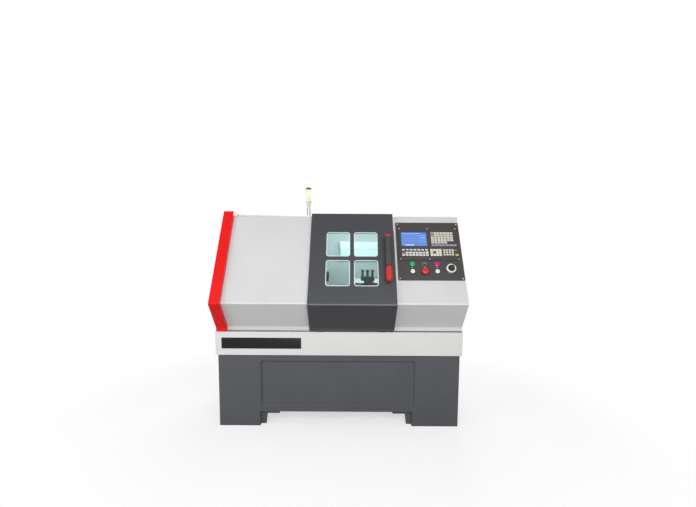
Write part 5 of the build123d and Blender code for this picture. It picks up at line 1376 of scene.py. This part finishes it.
# Lit fields of the screen: centre, width and height as shares of its own
PICTURES = (
    ("screen_head", SCREEN_DARK, ((0.5, 0.965, 1.0, 0.07), (0.5, 0.02, 1.0, 0.04))),
    ("screen_fields", SCREEN_PALE, (
        (0.38, 0.86, 0.7, 0.05), (0.38, 0.7, 0.7, 0.012), (0.38, 0.54, 0.7, 0.012),
        (0.38, 0.38, 0.7, 0.012), (0.86, 0.72, 0.2, 0.03), (0.86, 0.5, 0.2, 0.03),
        (0.86, 0.34, 0.2, 0.03), (0.745, 0.5, 0.008, 0.78), (0.06, 0.24, 0.05, 0.05),
    )),
    ("screen_bar", SCREEN_WHITE, ((0.32, 0.1, 0.36, 0.05), (0.86, 0.6, 0.16, 0.018))),
)

# Corners of a lens above its boss, as shares of radius and height
LENS_PROFILE = ((1.0, 0.35), (0.98, 0.6), (0.85, 0.85), (0.45, 1.0), (0.0, 1.02))

# Corners of the emergency stop's mushroom, as a share of its radius and a height in mm
MUSHROOM_PROFILE = (
    (0.8, 0.0), (0.97, 1.0), (1.0, 3.0), (0.98, 7.0), (0.9, 11.0), (0.7, 14.0), (0.4, 15.4),
    (0.0, 16.0),
)

# Corners of the disc in the hand wheel's dish, as a share of its radius and a height in mm
DISC_PROFILE = ((1.0, 0.0), (1.0, 1.0), (0.8, 1.6), (0.0, 2.4))

# Corners of the finger knob's sleeve below its cap, as shares of radius and height
SLEEVE_PROFILE = ((1.0, 0.0), (0.85, 0.4), (1.0, 0.85))


@dataclass
class OperatorPanel:
    """Control unit, keys, buttons and hand wheel on the slope, in millimetres."""

    lathe: Lathe
    screw_inset: float = 14.0
    plate_screw: float = 5.0
    plate_screw_height: float = 2.5
    unit_screw_side: float = 9.0
    unit_screw: float = 4.2
    unit_screw_height: float = 1.8
    unit_screw_pitch: float = 200.0
    field_corner: float = 0.3
    cap_inset: float = 0.5
    cap_height: float = 0.4
    cap_corner: float = 0.8
    legend_share: Point2 = (0.42, 0.22)
    ink: float = 0.15
    mark_drops: Point2 = (20.0, 23.5)
    mark_size: Point2 = (10.0, 1.8)
    selector_size: Point2 = (5.0, 1.6)
    selector_ring: float = 19.5
    selector_count: int = 3
    selector_start: float = 45.0
    selector_sweep: float = 90.0
    pointer_size: Point2 = (2.0, 12.0)
    pointer_corner: float = 0.9
    pointer_height: float = 0.4
    lens_radius: float = 17.0
    white_radius: float = 15.0
    lens_height: float = 3.5
    lens_lift: float = 0.5
    lens_sink: float = 0.3
    boss_share: float = 0.5
    skirt_share: float = 0.94
    mushroom_radius: float = 25.0
    mushroom_drop: float = 14.0
    dial_radius: float = 39.0
    dial_rise: float = 4.0
    dial_thickness: float = 0.5
    dial_marks: int = 50
    tick_size: Point2 = (3.6, 0.7)
    tick_height: float = 0.65
    tick_inset: float = 2.4
    wheel_rim: float = 9.0
    wheel_dish: float = 6.0
    rim_reach: float = 3.0
    tip_depth: float = 0.5
    sleeve_gap: float = 0.8
    sleeve_cap: float = 0.9

    def build(self) -> None:
        """Dress the panel and add its screws, picture, caps and marks."""
        self.lathe.dress({
            PANEL_PLATE: "operator_plate", UNIT_PLASTIC: "cnc_unit", SCREEN_GLASS: "lcd_screen",
            KEY_PLASTIC: "panel_keys", CHROME: "button_units", GREEN_PLASTIC: "start_button",
            MAGENTA_PLASTIC: "stop_button", WHITE_PLASTIC: "white_button_left white_button_right",
            RED_PLASTIC: "estop_button", BLACK_PLASTIC: "selector_knob",
            SILVER_PAINT: "pulse_handwheel",
        })
        self.frame = self.lathe.front.frame()
        self.unit = self.box("cnc_unit")
        self.plate = self.box("operator_plate")
        self.add_screws()
        self.add_picture()
        self.add_caps()
        self.add_marks()
        self.add_lenses()
        self.add_dial()
        self.add_wheel()

    def box(self, name: str) -> tuple[Vector, Vector]:
        """Return the corners of a node's box in the slope's axes."""
        return local_box(self.lathe.nodes[name], self.frame)

    def over(self, name: str, height: float | None = None) -> Matrix:
        """Find the middle of a node, seen square to the slope.

        Args:
            name: Name of the node.
            height: Height off the slope in metres, or None for the node's top.

        Returns:
            The matrix from that place to the frame.
        """
        low, high = self.box(name)
        centre = (low + high) / 2
        centre.z = high.z if height is None else height
        return self.frame @ Matrix.Translation(centre)

    def add_screws(self) -> None:
        """Add the screws at the plate's corners and round the control unit."""
        low, high = self.plate
        side = self.screw_inset * MM
        corners = (low.x + side, high.x - side)
        left, right = self.unit[0].x, self.unit[1].x
        inset = self.unit_screw_side * MM
        row = spaced(left + inset, right - inset, self.unit_screw_pitch * MM)
        for name, box, edge, across, radius, height in (
            ("panel_screws", self.plate, side, corners, self.plate_screw, self.plate_screw_height),
            ("unit_screws", self.unit, inset, row, self.unit_screw, self.unit_screw_height),
        ):
            low, high = box
            places = [(x, s, high.z) for x in across for s in (low.y + edge, high.y - edge)]
            head = Head.DOME.mesh(radius, height)
            self.lathe.copies.place(name, head, spots(self.frame, places), NICKEL)

    def add_picture(self) -> None:
        """Add the lit fields of the screen."""
        low, high = self.box("lcd_screen")
        size = high - low
        for name, finish, fields in PICTURES:
            form = Form()
            for across, up, width, height in fields:
                corner = self.field_corner * MM
                outline = rounded_outline(size.x * width, size.y * height, corner, 2)
                centre = (low.x + size.x * across, low.y + size.y * up, high.z)
                form.prism(outline, 0.0, self.ink * MM, self.frame @ Matrix.Translation(centre))
            form.piece(name, finish)

    def add_caps(self) -> None:
        """Add a coloured cap, and where it has one a legend, to the keys of each zone."""
        keys = [
            (low, high, ((low + high) / 2 - self.unit[0]) / MM)
            for low, high in solid_boxes(self.lathe.nodes["panel_keys"], self.frame)
        ]
        for zone in KEY_ZONES:
            form = Form()
            marks = []
            for low, high, place in keys:
                if not (zone.left < place.x < zone.right and zone.low < place.y < zone.high):
                    continue
                size = high - low
                top = (low + high) / 2
                top.z = high.z
                width, height = (side - 2 * self.cap_inset * MM for side in (size.x, size.y))
                form.prism(
                    rounded_outline(width, height, self.cap_corner * MM, 2), 0.0,
                    self.cap_height * MM, self.frame @ Matrix.Translation(top),
                )
                marks.append(top + Vector((0.0, 0.0, self.cap_height * MM)))
            form.piece(zone.name, zone.finish)
            if zone.legend:
                across, up = self.legend_share
                bar = tile(size.x * across, size.y * up, self.ink * MM)
                frames = spots(self.frame, marks)
                self.lathe.copies.place(zone.name + "_ink", bar, frames, zone.legend)

    def bars(self, name: str, size: Point2, height: float, frames: Sequence[Matrix]) -> None:
        """Add printed bars of one size and height, in millimetres."""
        bar = tile(size[0] * MM, size[1] * MM, height * MM)
        self.lathe.copies.place(name, bar, frames, MARK_INK)

    def add_marks(self) -> None:
        """Add the small plates under the upper buttons and the selector's two positions."""
        face = self.plate[1].z
        marks = [
            self.over(name, face) @ Matrix.Translation((0.0, -drop * MM, 0.0))
            for name in ("start_button", "selector_knob", "stop_button")
            for drop in self.mark_drops
        ]
        self.bars("button_marks", self.mark_size, self.ink, marks)
        marks = ring(
            self.over("selector_knob", face), self.selector_ring * MM, self.selector_count,
            self.selector_start, self.selector_sweep,
        )
        self.bars("selector_marks", self.selector_size, self.ink, marks)
        width, length, corner = (side * MM for side in (*self.pointer_size, self.pointer_corner))
        form = Form()
        form.prism(
            rounded_outline(width, length, corner), 0.0, self.pointer_height * MM,
            self.over("selector_knob"),
        )
        form.piece("selector_pointer", MARK_INK, "selector")

    def add_lenses(self) -> None:
        """Add the wide coloured lens on each push button and the mushroom of the e-stop."""
        lift = self.lens_lift * MM
        lenses = (
            ("start", "start_button", GREEN_PLASTIC, self.lens_radius),
            ("stop", "stop_button", MAGENTA_PLASTIC, self.lens_radius),
            ("white_left", "white_button_left", WHITE_PLASTIC, self.white_radius),
            ("white_right", "white_button_right", WHITE_PLASTIC, self.white_radius),
        )
        for body, node, finish, size in lenses:
            radius = size * MM
            boss = radius * self.boss_share
            foot = [(boss, -self.lens_sink * MM), (boss, lift), (radius * self.skirt_share, lift)]
            form = Form()
            form.turned(
                foot + scaled(LENS_PROFILE, radius, self.lens_height * MM), self.over(node), 48,
            )
            form.piece(node + "_lens", finish, body)
        form = Form()
        form.turned(
            scaled(MUSHROOM_PROFILE, self.mushroom_radius * MM, MM),
            self.over("estop_button") @ Matrix.Translation((0.0, 0.0, -self.mushroom_drop * MM)),
            48,
        )
        form.piece("estop_mushroom", RED_PLASTIC, "estop")

    def add_wheel(self) -> None:
        """Add the black disc in the hand wheel's dish and the sleeve on its finger knob."""
        turned = self.frame.inverted()
        node = self.lathe.nodes["pulse_handwheel"]
        points = [turned @ vertex.co for vertex in node.data.vertices]
        low, high = corners_of(points)
        tip = high.z - self.tip_depth * MM
        tip_low, tip_high = corners_of(point for point in points if point.z > tip)
        rim = max(point.z for point in points if abs(point.x - high.x) < self.rim_reach * MM)
        dish = rim - self.wheel_dish * MM
        radius = (high.x - low.x) / 2 - self.wheel_rim * MM
        form = Form()
        form.turned(scaled(DISC_PROFILE, radius, MM), self.over("pulse_handwheel", dish), 48)
        gap = self.sleeve_gap * MM
        sleeve = (tip_high.x - tip_low.x) / 2 + gap
        reach = high.z - dish
        cap = [(sleeve * self.sleeve_cap, reach + gap / 2), (0.0, reach + gap)]
        knob = (tip_low + tip_high) / 2
        knob.z = dish
        profile = scaled(SLEEVE_PROFILE, sleeve, reach) + cap
        form.turned(profile, self.frame @ Matrix.Translation(knob), 24)
        form.piece("handwheel_centre", BLACK_PLASTIC, "pulse_wheel")

    def add_dial(self) -> None:
        """Add the scale ring round the hand wheel and its ticks."""
        low, high = self.box("pulse_handwheel")
        face = self.over("pulse_handwheel", self.plate[1].z + self.dial_rise * MM)
        form = Form()
        form.turned(
            flat_ring((high.x - low.x) / 2, self.dial_radius * MM, self.dial_thickness * MM),
            face, 64,
        )
        form.piece("dial_scale", LABEL_BLACK)
        circle = (self.dial_radius - self.tick_inset) * MM
        ticks = ring(face, circle, self.dial_marks)
        self.bars("dial_ticks", self.tick_size, self.tick_height, ticks)


def flat_ring(inner: float, outer: float, thickness: float) -> list[Point2]:
    """Return the profile of a flat ring, from its inner edge at the foot."""
    return [(inner, 0.0), (outer, 0.0), (outer, thickness), (inner, thickness)]


@dataclass
class SignalLamp:
    """Single-stage signal lamp on the roof, in millimetres."""

    lathe: Lathe
    core_radius: float = 10.0
    disc_radius: float = 13.0
    stages: int = 6

    def build(self) -> None:
        """Dress the lamp and add the column of lamps inside the lens."""
        low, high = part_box("lamp_lens")
        centre = (low + high) / 2
        holder = TwoShot(
            "white_lamp_holder_dark_cap", "#E6E6E2", 0.3, 2.0, 0.01, upper="#4E4843",
            split=centre.z,
        )
        self.lathe.dress({ZINC: "lamp_pole", holder: "lamp_fittings", CLEAR_LENS: "lamp_lens"})
        pitch = (high.z - low.z) / self.stages
        core, disc = self.core_radius * MM, self.disc_radius * MM
        profile = [
            (radius, low.z + (stage + share) * pitch) for stage in range(self.stages)
            for radius, share in ((core, 0.0), (core, 0.7), (disc, 0.75), (disc, 0.95))
        ]
        form = Form()
        form.turned(profile, Matrix.Translation((centre.x, centre.y, 0.0)))
        form.piece("lamp_core", LAMP_GLOW)


@dataclass
class SpindleLine:
    """Headstock, spindle, chuck and drive, in millimetres."""

    lathe: Lathe
    bolt_radius: float = 8.0
    bolt_height: float = 7.0
    bolt_inset: float = 13.0
    bolt_count: int = 8
    chuck_bolt_radius: float = 6.4
    chuck_bolt_height: float = 3.0
    chuck_bolt_circle: float = 62.0
    chuck_bolt_start: float = 60.0
    chuck_bolts: int = 3
    fin_depth: float = 6.0
    fin_width: float = 3.0
    fin_bevel: float = 0.5
    fins: int = 9
    fin_starts: Point2 = (-32.0, 136.0)
    fin_sweep: float = 76.0
    fin_share: float = 0.62
    fin_shift: float = 0.08

    def build(self) -> None:
        """Dress the headstock, the chuck and the belt drive and add their bolts and fins."""
        low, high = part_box("chuck_body")
        centre = (low + high) / 2
        turned = TurnedMetal("turned_steel", "#B4B6B8", 0.3, (centre.y, centre.z))
        self.lathe.dress({
            CASTING: "bed_casting headstock", turned: "spindle spindle_bearings chuck_body",
            OXIDE: "chuck_jaw_rear chuck_jaw_upper chuck_jaw_lower", RUBBER: "drive_belt",
            MOTOR_PAINT: "main_motor", ALUMINIUM: "motor_pulley",
        })
        caps_low, caps_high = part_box("spindle_bearings")
        circle = (caps_high.z - caps_low.z) / 2 - self.bolt_inset * MM
        right, face = (
            facing_right(x) @ Matrix.Translation((centre.y, centre.z, 0.0))
            for x in (caps_high.x, high.x)
        )
        left = facing_left(caps_low.x) @ Matrix.Translation((-centre.y, centre.z, 0.0))
        self.lathe.copies.place(
            "bearing_cap_bolts", Head.CAP.mesh(self.bolt_radius, self.bolt_height),
            ring(right, circle, self.bolt_count) + ring(left, circle, self.bolt_count), OXIDE,
        )
        self.lathe.copies.place(
            "chuck_bolts", Head.CAP.mesh(self.chuck_bolt_radius, self.chuck_bolt_height),
            ring(face, self.chuck_bolt_circle * MM, self.chuck_bolts, self.chuck_bolt_start), OXIDE,
            "spindle_unit",
        )
        self.add_fins()

    def add_fins(self) -> None:
        """Add the cooling fins on both sides of the motor, between foot and terminal box."""
        low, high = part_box("main_motor")
        pulley_low, pulley_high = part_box("motor_pulley")
        axis = (pulley_low + pulley_high) / 2
        length = high.x - low.x
        middle = (low.x + high.x) / 2 - length * self.fin_shift
        frame = facing_right(middle) @ Matrix.Translation((axis.y, axis.z, 0.0))
        half = length * self.fin_share / 2
        side = self.fin_width * MM / 2
        fin = Form()
        fin.block(
            Vector((-self.fin_depth * MM, -side, -half)), Vector((0.0, side, half)), Matrix(),
            self.fin_bevel * MM,
        )
        radius = (high.y - low.y) / 2
        frames = [
            place for start in self.fin_starts
            for place in ring(frame, radius, self.fins, start, self.fin_sweep)
        ]
        self.lathe.copies.place("motor_fins", fin.data("fin"), frames, MOTOR_PAINT)


@dataclass
class Carriage:
    """Saddle, cross slide, turret and feed screws, in millimetres."""

    lathe: Lathe
    z_pitch: float = 10.0
    x_pitch: float = 5.0
    thread_depth: float = 0.8
    land_share: float = 0.2
    margin_radii: float = 8.0

    def build(self) -> None:
        """Dress the slides and the turret and wind the screws' threads."""
        self.lathe.dress({
            CASTING: "saddle cross_slide", WHITE_ENAMEL: "slide_cover", WAY_STEEL: "z_ballscrew",
            SHANK_STEEL: "x_ballscrew cutting_tool", OXIDE: "turret_head turret_screws",
            BLACK_PLASTIC: "z_servo",
        })
        along_x = Matrix.Rotation(math.radians(90), 4, "Y")
        along_y = Matrix.Rotation(math.radians(-90), 4, "X")
        self.wind("z_screw", 0, self.z_pitch, along_x, WAY_STEEL)
        self.wind("x_screw", 1, self.x_pitch, along_y, SHANK_STEEL)

    def wind(self, body: str, axis: int, pitch: float, turn: Matrix, finish: Finish) -> None:
        """Wind a thread along the middle of a feed screw.

        Args:
            body: CAD body of the screw, whose node and thread are named after it.
            axis: Axis that the screw lies along, 0 for X and 1 for Y.
            pitch: Pitch of the thread in millimetres.
            turn: Rotation from the local Z axis to the screw's axis.
            finish: Finish of the thread.
        """
        low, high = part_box(body[0] + "_ballscrew")
        radius = (high.z - low.z) / 2
        margin = self.margin_radii * radius
        turns = math.floor((high[axis] - low[axis] - 2 * margin) / (pitch * MM))
        start = (low + high) / 2
        start[axis] = low[axis] + margin
        self.lathe.thread.wind(
            body + "_thread", pitch * MM, turns, radius - self.thread_depth * MM,
            pitch * MM * self.land_share, Matrix.Translation(start) @ turn, finish, body,
        )


@dataclass
class Tailstock:
    """Tailstock with its quill and hand wheel."""

    lathe: Lathe

    def build(self) -> None:
        """Dress the tailstock."""
        self.lathe.dress({CASTING: "tailstock_body", WAY_STEEL: "quill", CHROME: "tail_handwheel"})


@dataclass
class BackCabinet:
    """Electrical cabinet on the back, in millimetres."""

    lathe: Lathe
    shield_radius: float = 30.0
    shield_thickness: float = 1.2
    shield_gap: float = 1.0
    board_thickness: float = 4.5

    def build(self) -> None:
        """Dress the cabinet, its door and its fittings and add the switch's shield."""
        board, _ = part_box("cabinet_equipment")
        equipment = TwoShot(
            "galvanised_board_dark_drives", "#BFC1C1", 0.4, 3.0, 0.01, upper="#3A3C3F",
            split=board.y + self.board_thickness * MM, axis="Y",
        )
        self.lathe.dress({
            HOOD_COAT: "cabinet_body cabinet_door", BLACK_PLASTIC: "cabinet_latch",
            equipment: "cabinet_equipment", RED_PLASTIC: "switch_knob",
        })
        low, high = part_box("switch_knob")
        _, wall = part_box("cabinet_body")
        centre = (low + high) / 2
        inner = (high.z - low.z) / 2 + self.shield_gap * MM
        form = Form()
        form.turned(
            flat_ring(inner, self.shield_radius * MM, self.shield_thickness * MM),
            facing_right(wall.x) @ Matrix.Translation((centre.y, centre.z, 0.0)), 48,
        )
        form.piece("switch_shield", YELLOW_COAT)


# Stage
# Soft lamps: name, place and aim in metres, sheet's width and height, power in watts
LAMPS = (
    ("key_lamp", (0.4, -4.0, 2.5), (0.0, -0.1, 0.95), (3.4, 1.6), 100.0),
    ("fill_lamp", (-3.0, -2.4, 1.9), (0.0, 0.0, 0.9), (2.0, 2.0), 34.0),
    ("back_lamp", (0.6, 3.6, 2.6), (0.0, 0.3, 1.0), (3.0, 2.0), 88.0),
    ("work_light", (0.09, -0.05, 1.46), (0.09, 0.1, 1.0), (0.9, 0.14), 3.8),
)


@dataclass
class Studio:
    """White floor, even sky and soft lamps; sizes in metres."""

    floor_half: float = 12.0
    floor_depth: float = 0.02
    floor_grey: float = 0.42
    floor_glow: float = 0.62
    shadow_reach: float = 1.5
    shadow_fade: float = 0.9
    sky: float = 0.36

    def build(self) -> None:
        """Make the world, the floor and the lamps."""
        self.make_world()
        self.make_floor()
        for lamp in LAMPS:
            self.add_lamp(*lamp)

    def seen_rays(self, tree: Tree) -> Socket:
        """Return 1 for rays that show the background and 0 for rays that light the object."""
        rays = add_node(tree, "ShaderNodeLightPath").outputs
        kinds = rays["Is Camera Ray"], rays["Is Transmission Ray"]
        return work_out(tree, "MAXIMUM", *kinds).outputs[0]

    def make_world(self) -> None:
        """Make a plain sky that is white where it is seen."""
        world = bpy.data.worlds.new("even_sky")
        tree = new_nodes(world)
        light, shown = (
            add_node(tree, "ShaderNodeBackground", {"Color": WHITE, "Strength": level}).outputs[0]
            for level in (self.sky, 1.0)
        )
        mixed = add_node(tree, "ShaderNodeMixShader", {0: self.seen_rays(tree), 1: light, 2: shown})
        add_node(tree, "ShaderNodeOutputWorld", {0: mixed.outputs[0]})
        bpy.context.scene.world = world

    def make_floor(self) -> None:
        """Make a pale floor that keeps the shadow and meets the sky without an edge."""
        half = self.floor_half
        form = Form()
        form.block(Vector((-half, -half, -self.floor_depth)), Vector((half, half, 0.0)))
        mesh = form.data("studio_floor")
        material = bpy.data.materials.new("studio_floor_paint")
        tree = new_nodes(material)
        seen = self.seen_rays(tree)
        level = work_out(tree, "MULTIPLY", seen, self.floor_glow).outputs[0]
        matt = add_node(tree, "ShaderNodeBsdfDiffuse", {"Color": (self.floor_grey,) * 3 + (1.0,)})
        glow, white = (
            add_node(tree, "ShaderNodeEmission", {"Color": WHITE, "Strength": strength}).outputs[0]
            for strength in (level, 1.0)
        )
        near = add_node(tree, "ShaderNodeAddShader", {0: matt.outputs[0], 1: glow})
        distance = work_out(tree, "LENGTH", object_place(tree), vector=True).outputs["Value"]
        ends = (self.shadow_reach, self.shadow_reach + self.shadow_fade)
        far = work_out(tree, "MULTIPLY", fade(tree, distance, ends, (0.0, 1.0)), seen)
        total = add_node(tree, "ShaderNodeMixShader", {
            0: far.outputs[0], 1: near.outputs[0], 2: white,
        })
        add_node(tree, "ShaderNodeOutputMaterial", {0: total.outputs[0]})
        mesh.materials.append(material)
        floor = bpy.data.objects.new("studio_floor", mesh)
        bpy.context.scene.collection.objects.link(floor)

    def add_lamp(
        self, name: str, place: Sequence[float], aim: Sequence[float], size: Point2, power: float,
    ) -> None:
        """Add a soft lamp.

        Args:
            name: Name of the lamp.
            place: Its place in metres.
            aim: Point that it looks at.
            size: Width and height of its sheet.
            power: Power in watts.
        """
        lamp = bpy.data.lights.new(name, "AREA")
        lamp.shape = "RECTANGLE"
        lamp.size, lamp.size_y = size
        lamp.energy = power
        holder = bpy.data.objects.new(name, lamp)
        holder.location = place
        look = Vector(aim) - Vector(place)
        holder.rotation_euler = look.to_track_quat("-Z", "Y").to_euler()
        holder.visible_camera = False
        holder.visible_transmission = False
        bpy.context.scene.collection.objects.link(holder)


@dataclass
class PhotoCamera:
    """Camera of the photograph, fitted to the corners of the machine."""

    place: tuple[float, float, float] = (0.0619, -2.7594, 1.2234)
    pitch_down: float = 4.8
    yaw: float = -0.03
    roll: float = 0.31
    focal_pixels: float = 350.0
    image_width: float = 696.0
    image_height: float = 507.0
    horizon_row: float = 283.1
    sensor_width: float = 36.0
    clip_end: float = 60.0

    def build(self) -> None:
        """Make the camera and use it."""
        pitch, yaw, roll = (math.radians(angle) for angle in (self.pitch_down, self.yaw, self.roll))
        ahead = Vector((
            math.sin(yaw) * math.cos(pitch), math.cos(yaw) * math.cos(pitch), -math.sin(pitch),
        ))
        level = Vector((math.cos(yaw), -math.sin(yaw), 0.0))
        above = level.cross(ahead)
        right = math.cos(roll) * level + math.sin(roll) * above
        up = -math.sin(roll) * level + math.cos(roll) * above
        data = bpy.data.cameras.new("photo_camera")
        data.sensor_width = self.sensor_width
        data.lens = self.focal_pixels * self.sensor_width / self.image_width
        data.shift_y = (self.horizon_row - self.image_height / 2) / self.image_width
        data.clip_end = self.clip_end
        camera = bpy.data.objects.new("photo_camera", data)
        turn = Matrix((right, up, -ahead)).transposed().to_4x4()
        camera.matrix_world = Matrix.Translation(self.place) @ turn
        bpy.context.scene.collection.objects.link(camera)
        bpy.context.scene.camera = camera


def clear_scene() -> None:
    """Remove Blender's default objects."""
    for item in list(bpy.data.objects):
        bpy.data.objects.remove(item)


def main() -> None:
    """Load the frame, build every sub-assembly and set the stage."""
    logging.basicConfig(level=logging.INFO, format="%(name)s: %(message)s")
    clear_scene()
    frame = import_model()
    PhotoCamera().build()
    lathe = Lathe(frame["nodes"], HoodFront(frame["nodes"]["hood_left_panel"]), Copies(), Thread())
    for assembly in (
        Pedestal, Hood, SlidingDoor, OperatorPanel, SignalLamp, SpindleLine, Carriage, Tailstock,
        BackCabinet,
    ):
        assembly(lathe).build()
        LOG.info("%s is dressed", assembly.__name__)
    Studio().build()
    scene = bpy.context.scene
    scene.view_settings.view_transform = "Standard"


if __name__ == "__main__":
    main()
